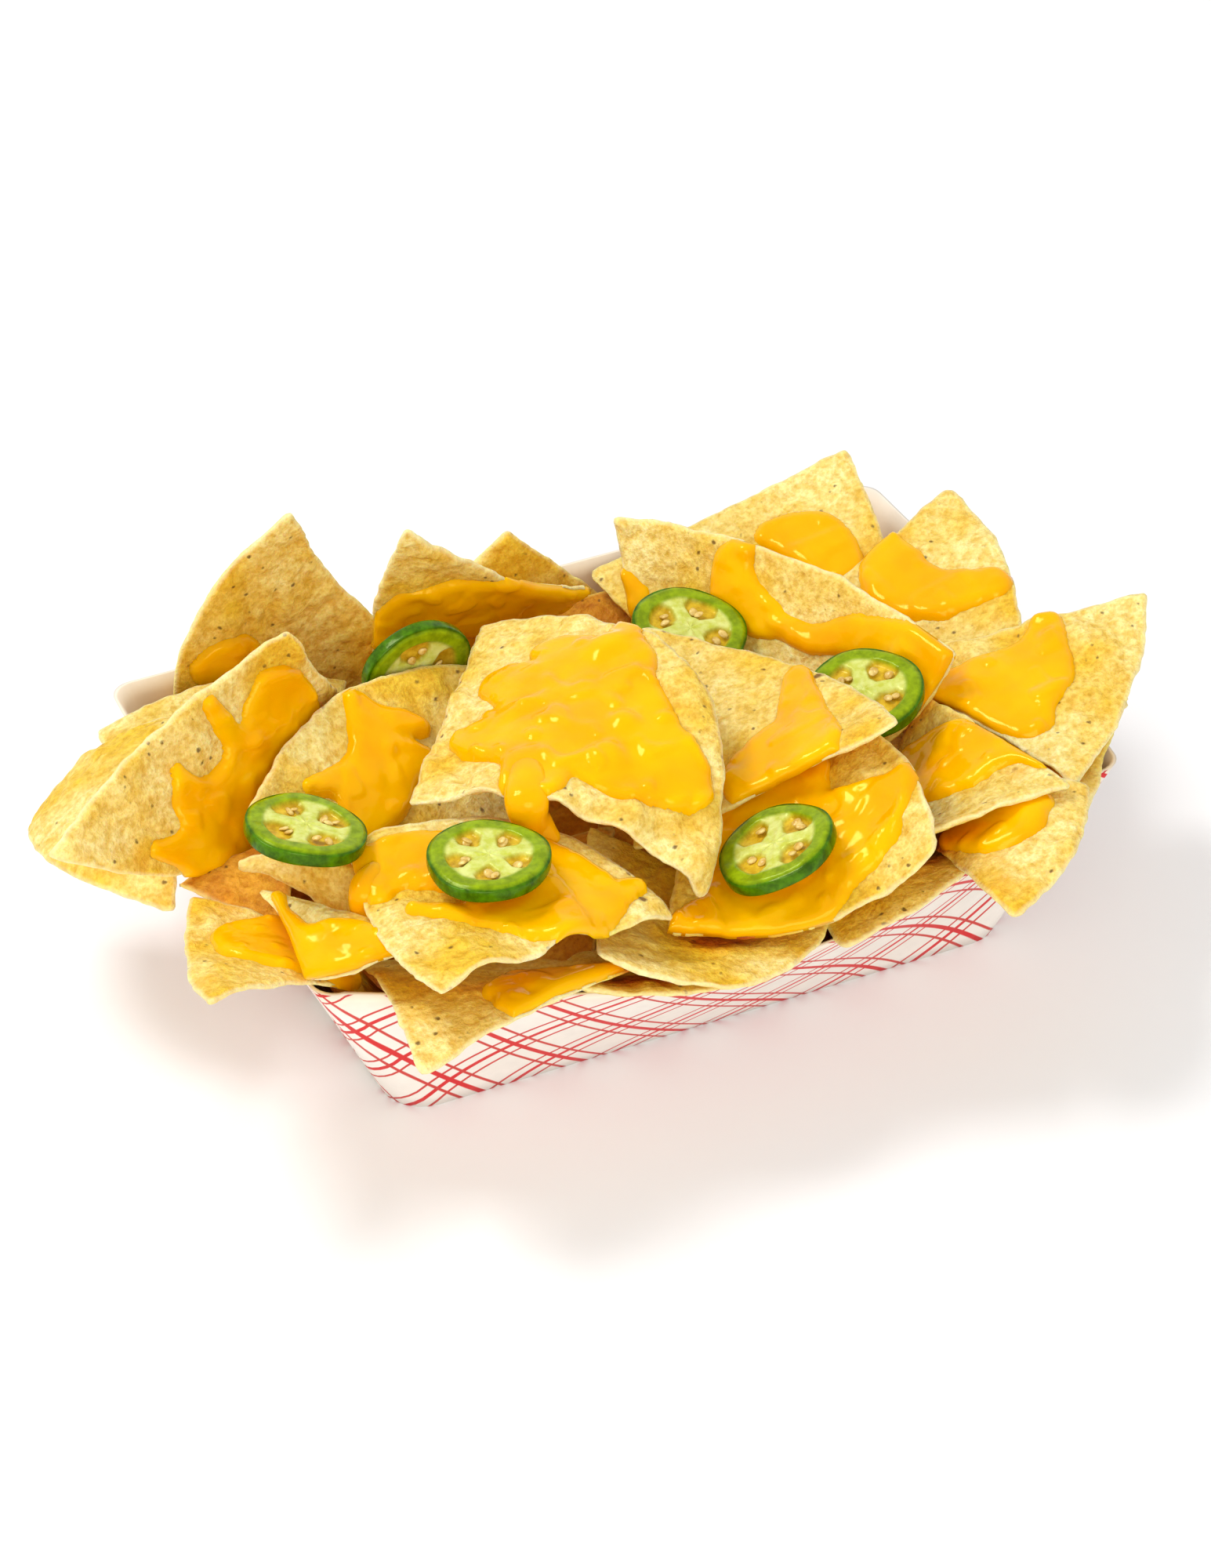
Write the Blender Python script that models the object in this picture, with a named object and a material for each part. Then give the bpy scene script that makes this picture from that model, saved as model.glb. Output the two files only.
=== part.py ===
"""Nachos in a folded paper food tray: corn tortilla chips, cheese sauce and jalapeno slices.

Metres, +Z up. The origin is the middle of the tray's base, on the table. +X runs along the tray's long
side to the right, and +Y to its back.
"""
import math

import bmesh
import bpy
from mathutils import Matrix, Vector
from mathutils.bvhtree import BVHTree

MM = 0.001

# Folded tray of 0.7 mm board, in mm.
BASE_LENGTH = 143.0
BASE_WIDTH = 98.0
BASE_CORNER = 9.0
WALL_SLANT = 47.0         # front and back walls, measured up the board
RIM_HEIGHT = 45.0         # at the corners
BOARD = 0.7
END_FLARE = 20.5          # how far each end wall leans out
END_BULGE = 2.0
BACK_FLARE = 9.5
FRONT_FLARE = 9.5         # at the corners
FRONT_BULGE = 19.0        # the chips push the middle of the front wall out by this much more
FRONT_FULLNESS = 2.1      # the bulge fades to the corners with this power of the place along the wall
RIM_CORNER = 5.0
FRONT_PANELS = 12
END_PANELS = 4
CORNER_PANELS = 3

# Quarter-cut tortilla chips, in mm.
CHIP_THICKNESS = 1.6
CHIP_CELLS = 6            # lattice cells along each side of a wedge

# Jalapeno slices, in mm.
SLICE_RADIUS = 12.5
SLICE_THICKNESS = 4.2
SLICE_SEGMENTS = 16
SLICE_ARMS = 4            # arms of the pith, with a seed well between each two
SLICE_RINGS = (0.2, 0.5, 0.78, 0.94)
SLICE_DIP = 0.4           # the middle of the cut face
WELL_DEPTH = 2.2
WELL_MIDDLE = 0.5         # of the radius
WELL_REACH = 0.28
SLICE_SKIN = ((1.0, 0.32), (1.0, -0.32), (0.93, -0.5))   # radius and height, as parts of the whole
SLICE_WOBBLE = 0.025

# Cheese sauce, in mm.
CHEESE_DEPTH = 2.4
CHEESE_CLEARANCE = 0.7    # above the chip's upper face, where its facets cut the curve
CHEESE_SECTION = ((-1.0, 0.0), (0.0, 0.0), (1.0, 0.0), (0.9, 0.6), (0.35, 1.0), (-0.35, 1.0), (-0.9, 0.6))
CHEESE_STATIONS = 2       # cross-sections laid between two points of a run
CHEESE_SLIM = 0.35        # a run's end is this much narrower, and a hair-thin run this much of the depth
CHEESE_FULL = 5.0         # half width at which a run has gained its whole depth
CHEESE_END = 0.6          # how far an end reaches past the run, in stations

# The heap of buried chips, in mm.
HEAP_CELL = 9.0
HEAP_CLEARANCE = 3.0
HEAP_STEP = 1.5
HEAP_FLOOR = 1.4          # its underside, and its distance from the walls
HEAP_LEAST = 3.5
HEAP_TOP = 37.0
HEAP_PROBES = 3           # places tested along each cell
HEAP_PINCH = 0.06         # draws the corners in

COLOURS = {
    "board": (0.86, 0.80, 0.76, 1.0),
    "corn": (0.82, 0.58, 0.22, 1.0),
    "cheese": (0.93, 0.50, 0.02, 1.0),
    "pepper": (0.08, 0.24, 0.03, 1.0),
}
ROUGHNESS = {"board": 0.6, "corn": 0.7, "cheese": 0.25, "pepper": 0.3}

# Each chip: name, its point's place in mm, turn in degrees about X, Y and Z, the two cut sides' lengths,
# the angle between them, how far the middle of each side curls up, and how far it bows out.
CHIPS = (
    ("chip_back_left", (-20.5, 54.5, 36), (-94, -57, -167), (60.5, 59), 81, (-1, -1, -5), (-3, 1, 16)),
    ("chip_far_left", (-99.5, 45.5, 44), (-3, -3, -96), (52.5, 57), 94, (0.5, 6.5, 1), (0, -0.5, 8)),
    ("chip_left_big", (-70, 7, 87.5), (-109, 14, -156), (73, 68.5), 115, (-3.5, 8, 20), (0, -3.5, 7.5)),
    ("chip_left_under", (-65.5, 21, 53.5), (-1, 23, 158), (55.5, 57.5), 63, (11.5, 8.5, 11), (0, -2, 11.5)),
    ("chip_mid_left_back", (12, 37, 53.5), (-110, -36, -171), (57.5, 58.5), 79, (2, -3, -1.5), (-2, 0, 5)),
    ("chip_mid_back", (1, 56.5, 60.5), (-76, 34, -170), (40, 58), 98, (0.5, 1, -1.5), (0, 0, 8)),
    ("chip_left_mid", (-40, -40.5, 30), (29, -19, 60), (64.5, 64), 84, (-1, -1.5, 1.5), (0, 0, 15.5)),
    ("chip_left_curl", (-96, -24, 56), (43, 18, -65), (34.5, 25), 39, (-4.5, 0.5, 1), (-5.5, 3.5, 7)),
    ("chip_front_left", (-105, -21.5, 49), (-32, -15, -107), (53.5, 50), 77, (-3.5, 5.5, 5), (1, -2, -2.5)),
    ("chip_front_left_inner", (-94, -32, 54.5), (17, 7, -91), (27, 39), 36, (1, 1.5, 2.5), (-1.5, 0.5, 4)),
    ("chip_top_centre", (-60, -32.5, 64), (0, 9, -41), (62.5, 64.5), 94, (12, 0, 20), (-1, 0.5, 20)),
    ("chip_front_mid", (-79.5, -89.5, 66), (1, 11, 13), (61, 53.5), 73, (1, -5, 5.5), (-1.5, 2, 13.5)),
    ("chip_front_low", (-83.5, -89.5, 45.5), (-18, 0, 13), (56.5, 60.5), 69, (3, 9, -3.5), (1, -0.5, 8)),
    ("chip_front_sliver", (-28.5, -27.5, 15.5), (7, -29, -108), (58, 55), 56, (0, 6.5, -5.5), (-2.5, 0, 15)),
    ("chip_front_right_low", (-17.5, -25.5, 41.5), (-6, -13, -113), (61, 58.5), 62, (-2.5, -3.5, -7), (0, 0, 12.5)),
    ("chip_right_centre", (-21, -71, 47.5), (1, -16, -19), (57, 63.5), 77, (-8.5, -1, 4), (1.5, 0, 17)),
    ("chip_centre_right_back", (-15.5, -43.5, 46.5), (7, -27, -18), (61.5, 63), 77, (-0.5, 1.5, -8), (0, 0, 8)),
    ("chip_back_mid", (5.5, -19, 39.5), (15, -23, -13), (66, 74.5), 82, (-12.5, -15.5, 0.5), (6.5, 3.5, 6.5)),
    ("chip_back_right", (81.5, 50.5, 61.5), (-14, 14, 178), (64.5, 64.5), 81, (-1, 0, -0.5), (0, 0, 14.5)),
    ("chip_right_back", (40, 11, 46), (14, -3, -64), (60, 60), 81, (-3.5, 0.5, -1.5), (0, -0.5, 11.5)),
    ("chip_right_big", (73.5, -69, 52), (-10, -12, 45), (57, 59.5), 65, (-2, 1.5, 1), (3, -2.5, 2)),
    ("chip_right_low", (52.5, -47, 27.5), (32, -22, -100), (57, 43), 47, (8, 11.5, -2), (0.5, -1.5, 4.5)),
    ("chip_right_mid", (69.5, -75, 57.5), (-3, 6, 101), (50, 42.5), 76, (2, 1.5, -16), (-1, 0, 7.5)),
    ("chip_right_under", (3.5, -24.5, 29.5), (-11, -9, -80), (59, 51), 50, (4, -1, 11.5), (-3, 0, 17)),
    ("chip_right_end", (52, -22.5, 21), (6, -22, -78), (67.5, 61.5), 72, (5, 22.5, 6.5), (0.5, -1.5, 4)),
)

# Each puddle of sauce: name, the chip that it lies on, and its runs. A run is a row of places on the
# chip, as parts of its two cut sides, each with half the run's width in mm.
CHEESE = (
    ("cheese_back_left", "chip_back_left", (
        ((0.41, 0.49, 2.6), (0.42, 0.43, 4), (0.44, 0.37, 2.6)),
    )),
    ("cheese_left_big", "chip_left_big", (
        ((0.16, 0.16, 3.5), (0.25, 0.23, 5.5), (0.36, 0.29, 5.5), (0.5, 0.29, 6.5), (0.61, 0.28, 5.5)),
        ((0.56, 0.09, 2.6), (0.59, 0.16, 3.5), (0.61, 0.24, 4.5), (0.56, 0.32, 5)),
        ((0.34, 0.04, 2), (0.36, 0.12, 2.4), (0.39, 0.22, 2.6)),
        ((0.74, 0.17, 2), (0.69, 0.22, 3.5), (0.61, 0.28, 4)),
    )),
    ("cheese_mid_left_back", "chip_mid_left_back", (
        ((0.48, 0.41, 2.2), (0.44, 0.32, 5), (0.29, 0.27, 5.5), (0.17, 0.2, 4.5), (0.11, 0.09, 3), (0.03, 0.02, 2)),
    )),
    ("cheese_left_mid", "chip_left_mid", (
        ((0.44, 0.54, 3), (0.39, 0.5, 3.5), (0.34, 0.46, 5), (0.26, 0.48, 7.5), (0.17, 0.59, 7)),
        ((0.53, 0.31, 2.5), (0.45, 0.37, 3.5), (0.34, 0.45, 4)),
        ((0.26, 0.48, 7), (0.29, 0.35, 6.5)),
    )),
    ("cheese_top_centre", "chip_top_centre", (
        ((0.34, 0.66, 5), (0.39, 0.45, 9), (0.49, 0.28, 10), (0.65, 0.17, 8.5), (0.78, 0.14, 3.5)),
        ((0.08, 0.59, 4), (0.17, 0.52, 6), (0.29, 0.44, 7), (0.42, 0.39, 7)),
        ((0.09, 0.31, 4), (0.2, 0.24, 6), (0.36, 0.19, 7), (0.51, 0.23, 7)),
        ((0.27, 0.17, 5), (0.32, 0.06, 4), (0.34, 0.02, 3)),
    )),
    ("cheese_front_mid", "chip_front_mid", (
        ((0, 0.88, 3.5), (0.04, 0.71, 6), (0.15, 0.5, 5), (0.31, 0.28, 6), (0.51, 0.13, 6), (0.69, 0.09, 6), (0.82, 0.11, 3.5)),
        ((0.02, 0.79, 2.5), (0, 0.72, 2.4), (-0.01, 0.66, 2.4)),
        ((0.05, 0.75, 5), (0.13, 0.74, 5), (0.25, 0.62, 6), (0.42, 0.42, 7), (0.61, 0.23, 7), (0.64, 0.12, 6)),
    )),
    ("cheese_front_left", "chip_front_left", (
        ((0.41, 0.19, 4), (0.38, 0.25, 4.5), (0.34, 0.3, 3.5)),
    )),
    ("cheese_front_left_inner", "chip_front_left_inner", (
        ((0.58, 0.12, 4), (0.48, 0.24, 5), (0.37, 0.35, 4.5)),
    )),
    ("cheese_front_low", "chip_front_low", (
        ((0.33, 0.24, 2.5), (0.49, 0.16, 3.5), (0.68, 0.09, 3), (0.86, 0.01, 2)),
    )),
    ("cheese_right_centre", "chip_right_centre", (
        ((0.69, 0.26, 2.5), (0.63, 0.23, 6), (0.56, 0.17, 8), (0.46, 0.11, 8), (0.33, 0.07, 7.5), (0.19, 0.02, 6), (0.09, -0.02, 3)),
        ((0.49, 0.27, 6), (0.35, 0.31, 8), (0.24, 0.26, 8), (0.17, 0.14, 7), (0.11, 0.05, 5)),
    )),
    ("cheese_centre_right", "chip_centre_right_back", (
        ((0.54, 0.39, 3), (0.57, 0.25, 3.8), (0.6, 0.12, 4.5), (0.54, 0.09, 5)),
    )),
    ("cheese_back_mid", "chip_back_mid", (
        ((0.33, 0.64, 2.4), (0.28, 0.62, 2.4), (0.33, 0.51, 3), (0.44, 0.4, 3), (0.59, 0.28, 2.8), (0.74, 0.17, 2.8), (0.89, 0.06, 3.2), (0.88, 0.03, 3)),
    )),
    ("cheese_back_mid_end", "chip_back_mid", (
        ((0, 0.87, 2.4), (0, 0.82, 3.4), (0.01, 0.77, 2.6)),
    )),
    ("cheese_back_right", "chip_back_right", (
        ((0.33, 0.16, 3), (0.22, 0.24, 4.5), (0.13, 0.35, 3.5)),
    )),
    ("cheese_right_back", "chip_right_back", (
        ((-0.01, 0.59, 3.5), (0.12, 0.49, 5.5), (0.25, 0.44, 5), (0.33, 0.49, 4), (0.38, 0.55, 2.5)),
    )),
    ("cheese_right_big", "chip_right_big", (
        ((0.58, 0.35, 3), (0.39, 0.36, 6.5), (0.21, 0.39, 7), (0.11, 0.38, 3.5)),
        ((0.17, 0.61, 3), (0.2, 0.48, 5), (0.27, 0.36, 6)),
    )),
    ("cheese_right_mid", "chip_right_mid", (
        ((0.66, 0.16, 4), (0.5, 0.13, 7), (0.34, 0.07, 6), (0.26, -0.03, 3.5)),
    )),
    ("cheese_right_low", "chip_right_low", (
        ((0.32, 0.2, 3.2), (0.34, 0.33, 4.5), (0.29, 0.49, 3)),
    )),
)

# Each jalapeno slice: name, its middle's place in mm and its turn in degrees.
PEPPERS = (
    ("jalapeno_left_back", (-38, 16.5, 60.5), (-97, -23, -172)),
    ("jalapeno_left", (-85, -36, 70), (-3, 13, 0)),
    ("jalapeno_front", (-55.5, -60, 69.5), (-2, 1, 0)),
    ("jalapeno_right", (4.5, -69, 59), (-10, -21, 0)),
    ("jalapeno_back", (23.5, 11, 55), (13, 5, 0)),
    ("jalapeno_back_right", (44, -31, 60), (5, -12, 0)),
)


def clear_scene():
    for thing in list(bpy.data.objects):
        bpy.data.objects.remove(thing, do_unlink=True)


def food_material(node, kind):
    material = bpy.data.materials.new(node)
    material.use_nodes = True
    shader = material.node_tree.nodes["Principled BSDF"]
    shader.inputs["Base Color"].default_value = COLOURS[kind]
    shader.inputs["Roughness"].default_value = ROUGHNESS[kind]
    shader.inputs["Metallic"].default_value = 0.0
    return material


def add_piece(node, kind, points, faces, place=None):
    """A named object from points in mm, standing where its placement matrix says."""
    mesh = bpy.data.meshes.new(node)
    mesh.from_pydata([Vector(p) * MM for p in points], [], faces)
    solid = bmesh.new()
    solid.from_mesh(mesh)
    bmesh.ops.triangulate(solid, faces=solid.faces)
    bmesh.ops.recalc_face_normals(solid, faces=solid.faces)
    solid.to_mesh(mesh)
    solid.free()
    mesh.materials.append(food_material(node, kind))
    piece = bpy.data.objects.new(node, mesh)
    if place is not None:
        spot, _, _ = place.decompose()
        piece.rotation_euler = place.to_euler()
        piece.location = spot * MM
    bpy.context.scene.collection.objects.link(piece)
    return piece


# ---------------------------------------------------------------- tray

def front_flare(across):
    """How far out the front rim stands at a place from -1 to 1 along it."""
    return FRONT_FLARE + FRONT_BULGE * (1.0 - abs(across) ** FRONT_FULLNESS)


def front_height(across):
    """The slanted board's rim height there, eased to the corner's height."""
    height = math.sqrt(WALL_SLANT ** 2 - front_flare(across) ** 2)
    corner = math.sqrt(WALL_SLANT ** 2 - FRONT_FLARE ** 2)
    return height + (RIM_HEIGHT - corner) * across ** 4


def corner_points(sx, sy, half_x, half_y, corner, height):
    """The rounded corner between two walls, in the loop's anticlockwise order."""
    points = []
    for step in range(1, CORNER_PANELS):
        angle = 0.5 * math.pi * step / CORNER_PANELS
        near, far = corner * (1.0 - math.sin(angle)), corner * (1.0 - math.cos(angle))
        dx, dy = (near, far) if sx * sy < 0.0 else (far, near)
        points.append((sx * (half_x - dx), sy * (half_y - dy), height))
    return points


def end_points(side, half_x, reach, rise):
    """One end wall's loop points, bulged a little in the middle."""
    points = []
    for i in range(END_PANELS + 1):
        across = -1.0 + 2.0 * i / END_PANELS
        bulge = END_BULGE * rise * (1.0 - across ** 2)
        points.append((side * (half_x + bulge), side * across * reach, RIM_HEIGHT * rise))
    return points


def tray_ring(rise, inset):
    """One closed loop round the tray: rise 0 is the base fold and 1 the rim."""
    half_x = 0.5 * BASE_LENGTH + END_FLARE * rise - inset
    half_y = 0.5 * BASE_WIDTH - inset
    front, back = half_y + FRONT_FLARE * rise, half_y + BACK_FLARE * rise
    corner = BASE_CORNER + (RIM_CORNER - BASE_CORNER) * rise
    height = RIM_HEIGHT * rise
    reach = back - corner
    ring = []
    for i in range(FRONT_PANELS + 1):
        across = -1.0 + 2.0 * i / FRONT_PANELS
        flare = half_y + front_flare(across) * rise
        ring.append((across * (half_x - corner), -flare, front_height(across) * rise))
    ring += corner_points(1.0, -1.0, half_x, front, corner, height)
    ring += end_points(1.0, half_x, reach, rise)
    ring += corner_points(1.0, 1.0, half_x, back, corner, height)
    for i in range(END_PANELS + 1):
        across = 1.0 - 2.0 * i / END_PANELS
        ring.append((across * (half_x - corner), back, height))
    ring += corner_points(-1.0, 1.0, half_x, back, corner, height)
    ring += end_points(-1.0, half_x, reach, rise)
    ring += corner_points(-1.0, -1.0, half_x, front, corner, height)
    return ring


def bridge(first, second, count):
    """Quads between two loops of count points, given by the number of each loop's first point."""
    quads = []
    for i in range(count):
        after = (i + 1) % count
        quads.append((first + i, first + after, second + after, second + i))
    return quads


def make_tray():
    outer_base = tray_ring(0.0, 0.0)
    outer_rim = tray_ring(1.0, 0.0)
    inner_rim = tray_ring(1.0, BOARD)
    inner_base = [(x, y, BOARD) for x, y, _ in tray_ring(0.0, BOARD)]
    count = len(outer_base)
    points = outer_base + outer_rim + inner_rim + inner_base
    faces = [tuple(reversed(range(count)))]
    for loop in range(3):
        faces += bridge(loop * count, (loop + 1) * count, count)
    faces.append(tuple(range(3 * count, 4 * count)))
    return add_piece("paper_tray", "board", points, faces)


# ---------------------------------------------------------------- chips

def outward(start, end, inside):
    """Unit direction in the chip's plane that points away from its inside, across one side."""
    along = (end - start).normalized()
    side = Vector((along.y, -along.x, 0.0))
    return side if side.dot((start + end) / 2.0 - inside) > 0.0 else -side


def wedge_controls(radii, opening, lifts, bows):
    """The wedge is a curved triangle: its point, its two arc ends and a pull on the middle of each side.

    lifts raise the middle of the first side, the second side and the arc; bows push them outwards."""
    turn = math.radians(opening)
    point = Vector((0.0, 0.0, 0.0))
    first = Vector((radii[0], 0.0, 0.0))
    second = Vector((radii[1] * math.cos(turn), radii[1] * math.sin(turn), 0.0))
    up = Vector((0.0, 0.0, 1.0))
    mid_first = first / 2.0 + 2.0 * (outward(point, first, second) * bows[0] + up * lifts[0])
    mid_second = second / 2.0 + 2.0 * (outward(point, second, first) * bows[1] + up * lifts[1])
    mid_arc = (first + second) / 2.0 + 2.0 * (outward(first, second, point) * bows[2] + up * lifts[2])
    return point, first, second, mid_first, mid_second, mid_arc


def on_wedge(controls, u, v):
    """Place and upward normal of the curved triangle at u along the first side and v along the second."""
    point, first, second, mid_first, mid_second, mid_arc = controls
    w = 1.0 - u - v
    place = point * w * w + first * u * u + second * v * v
    place += 2.0 * (mid_first * w * u + mid_second * w * v + mid_arc * u * v)
    slope_u = (mid_first - point) * w + (first - mid_first) * u + (mid_arc - mid_second) * v
    slope_v = (mid_second - point) * w + (mid_arc - mid_first) * u + (second - mid_second) * v
    return place, slope_u.cross(slope_v).normalized()


def placement(spot, turn):
    place = Matrix.Translation(spot)
    for axis, angle in zip("ZYX", reversed(turn)):
        place = place @ Matrix.Rotation(math.radians(angle), 4, axis)
    return place


def chip_controls(chip):
    return wedge_controls(chip[3], chip[4], chip[5], chip[6])


def make_chip(chip):
    controls = chip_controls(chip)
    rows, points = {}, []
    for side in (1.0, -1.0):
        for i in range(CHIP_CELLS + 1):
            for j in range(CHIP_CELLS + 1 - i):
                place, normal = on_wedge(controls, i / CHIP_CELLS, j / CHIP_CELLS)
                rows[side, i, j] = len(points)
                points.append(place + normal * (side * 0.5 * CHIP_THICKNESS))
    faces = []
    for i in range(CHIP_CELLS):
        for j in range(CHIP_CELLS - i):
            for side in (1.0, -1.0):
                corners = [rows[side, i, j], rows[side, i + 1, j], rows[side, i, j + 1]]
                faces.append(tuple(corners if side > 0.0 else reversed(corners)))
                if i + j < CHIP_CELLS - 1:
                    corners = [rows[side, i + 1, j], rows[side, i + 1, j + 1], rows[side, i, j + 1]]
                    faces.append(tuple(corners if side > 0.0 else reversed(corners)))
    border = [(k, 0) for k in range(CHIP_CELLS)]
    border += [(CHIP_CELLS - k, k) for k in range(CHIP_CELLS)]
    border += [(0, CHIP_CELLS - k) for k in range(CHIP_CELLS)]
    for k, start in enumerate(border):
        end = border[(k + 1) % len(border)]
        faces.append((rows[(1.0, *start)], rows[(-1.0, *start)], rows[(-1.0, *end)], rows[(1.0, *end)]))
    return add_piece(chip[0], "corn", points, faces, placement(chip[1], chip[2]))


# ---------------------------------------------------------------- jalapeno slices

def slice_surface(turn, out):
    """Depth of the cut face below its rim: wells between the arms of the pith, seen from above."""
    between = 0.5 - 0.5 * math.cos(SLICE_ARMS * turn)
    well = max(0.0, 1.0 - abs(out - WELL_MIDDLE) / WELL_REACH)
    return WELL_DEPTH * well * between ** 1.5


def slice_ring(out, height, wobble):
    ring = []
    for k in range(SLICE_SEGMENTS):
        angle = 2.0 * math.pi * k / SLICE_SEGMENTS
        reach = SLICE_RADIUS * out * (1.0 + wobble * math.cos(3.0 * angle))
        ring.append((reach * math.cos(angle), reach * math.sin(angle), height - slice_surface(angle, out)))
    return ring


def make_slice(pepper):
    node, spot, turn = pepper
    top = 0.5 * SLICE_THICKNESS
    points = [(0.0, 0.0, top - SLICE_DIP)]
    for out in SLICE_RINGS:
        points += slice_ring(out, top, 0.0)
    for out, height in SLICE_SKIN:
        points += slice_ring(out, height * SLICE_THICKNESS, SLICE_WOBBLE)
    faces = [(0, 1 + k, 1 + (k + 1) % SLICE_SEGMENTS) for k in range(SLICE_SEGMENTS)]
    loops = len(SLICE_RINGS) + len(SLICE_SKIN)
    for loop in range(loops - 1):
        faces += bridge(1 + (loop + 1) * SLICE_SEGMENTS, 1 + loop * SLICE_SEGMENTS, SLICE_SEGMENTS)
    last = 1 + (loops - 1) * SLICE_SEGMENTS
    faces.append(tuple(reversed(range(last, last + SLICE_SEGMENTS))))
    return add_piece(node, "pepper", points, faces, placement(spot, turn))


# ---------------------------------------------------------------- cheese sauce

def smooth_run(run):
    """More stations between the points of a run, on a Catmull-Rom curve through (u, v, half width)."""
    nodes = [Vector(point) for point in run]
    stations = []
    for i in range(len(nodes) - 1):
        before = nodes[max(i - 1, 0)]
        after = nodes[min(i + 2, len(nodes) - 1)]
        for step in range(CHEESE_STATIONS):
            t = step / CHEESE_STATIONS
            a, b, c, d = before, nodes[i], nodes[i + 1], after
            bend = (a * 2 - b * 5 + c * 4 - d) * t * t + (b * 3 - a - c * 3 + d) * t ** 3
            stations.append((b * 2 + (c - a) * t + bend) / 2)
    stations.append(nodes[-1])
    return stations


def run_section(controls, station, heading):
    """A flat-bottomed, round-topped loop across a run, laid on the chip's upper face."""
    u, v, half = station
    here, normal = on_wedge(controls, u, v)
    reach = 0.001
    slope_u = (on_wedge(controls, u + reach, v)[0] - here) / reach
    slope_v = (on_wedge(controls, u, v + reach)[0] - here) / reach
    ahead = slope_u * heading.x + slope_v * heading.y
    aside = normal.cross(ahead).normalized()
    square = Matrix((slope_u, slope_v, normal)).transposed().inverted()
    shift = square @ aside
    loop = []
    lowest = 0.5 * CHIP_THICKNESS + CHEESE_CLEARANCE
    for across, rise in CHEESE_SECTION:
        step = across * half
        place, up = on_wedge(controls, u + shift.x * step, v + shift.y * step)
        depth = CHEESE_DEPTH * min(1.0, CHEESE_SLIM + half / CHEESE_FULL)
        loop.append(place + up * (lowest + rise * depth))
    return loop


def make_run(node, controls, run, place):
    stations = smooth_run(run)
    first, last = stations[0], stations[-1]
    before = first - (stations[1] - first) * CHEESE_END
    after = last + (last - stations[-2]) * CHEESE_END
    before.z = CHEESE_SLIM * first.z
    after.z = CHEESE_SLIM * last.z
    stations = [before] + stations + [after]
    points, faces, count = [], [], len(CHEESE_SECTION)
    for k, station in enumerate(stations):
        heading = stations[min(k + 1, len(stations) - 1)] - stations[max(k - 1, 0)]
        points += run_section(controls, station, heading)
        if k:
            faces += bridge((k - 1) * count, k * count, count)
    faces.append(tuple(reversed(range(count))))
    faces.append(tuple(range((len(stations) - 1) * count, len(stations) * count)))
    return add_piece(node, "cheese", points, faces, place)


def make_cheese(cheese):
    """One puddle: its first run, with the other runs joined on."""
    node, chip_name, runs = cheese
    chip = next(row for row in CHIPS if row[0] == chip_name)
    controls, place = chip_controls(chip), placement(chip[1], chip[2])
    puddle = make_run(node, controls, runs[0], place)
    for k, run in enumerate(runs[1:]):
        lobe = make_run(f"{node}_lobe_{k}", controls, run, place)
        lobe.hide_render = True
        lobe.display_type = "WIRE"
        union = puddle.modifiers.new(lobe.name, "BOOLEAN")
        union.operation = "UNION"
        union.solver = "EXACT"
        union.object = lobe
    return puddle


# ---------------------------------------------------------------- heap of buried chips

def tray_inside(s, t, z):
    """A place inside the tray's walls: s and t run from -1 to 1 along it and across it."""
    rise = z / RIM_HEIGHT
    half_x = 0.5 * BASE_LENGTH + END_FLARE * rise - BOARD - HEAP_FLOOR
    flare = BACK_FLARE if t > 0.0 else FRONT_FLARE
    half_y = 0.5 * BASE_WIDTH + flare * rise - BOARD - HEAP_FLOOR
    pinch = 1.0 - HEAP_PINCH * (s * t) ** 4
    return Vector((s * half_x * pinch, t * half_y * pinch, z))


def chip_tree(chips):
    points, faces = [], []
    for chip in chips:
        start = len(points)
        move = Matrix.LocRotScale(chip.location, chip.rotation_euler, None)
        points += [(move @ corner.co) / MM for corner in chip.data.vertices]
        faces += [tuple(start + k for k in face.vertices) for face in chip.data.polygons]
    return BVHTree.FromPolygons(points, faces)


def free_height(tree, s, t):
    """How high the heap can be filled at one place before it comes near a chip."""
    height = HEAP_LEAST
    while height < HEAP_TOP:
        near = tree.find_nearest(tray_inside(s, t, height), HEAP_CLEARANCE)
        if near[0] is not None:
            break
        height += HEAP_STEP
    return height


def lowest_near(ceiling, i, j):
    reach = range(-HEAP_PROBES - 1, HEAP_PROBES + 2)
    near = [ceiling[i + a, j + b] for a in reach for b in reach if (i + a, j + b) in ceiling]
    return min(near)


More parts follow.
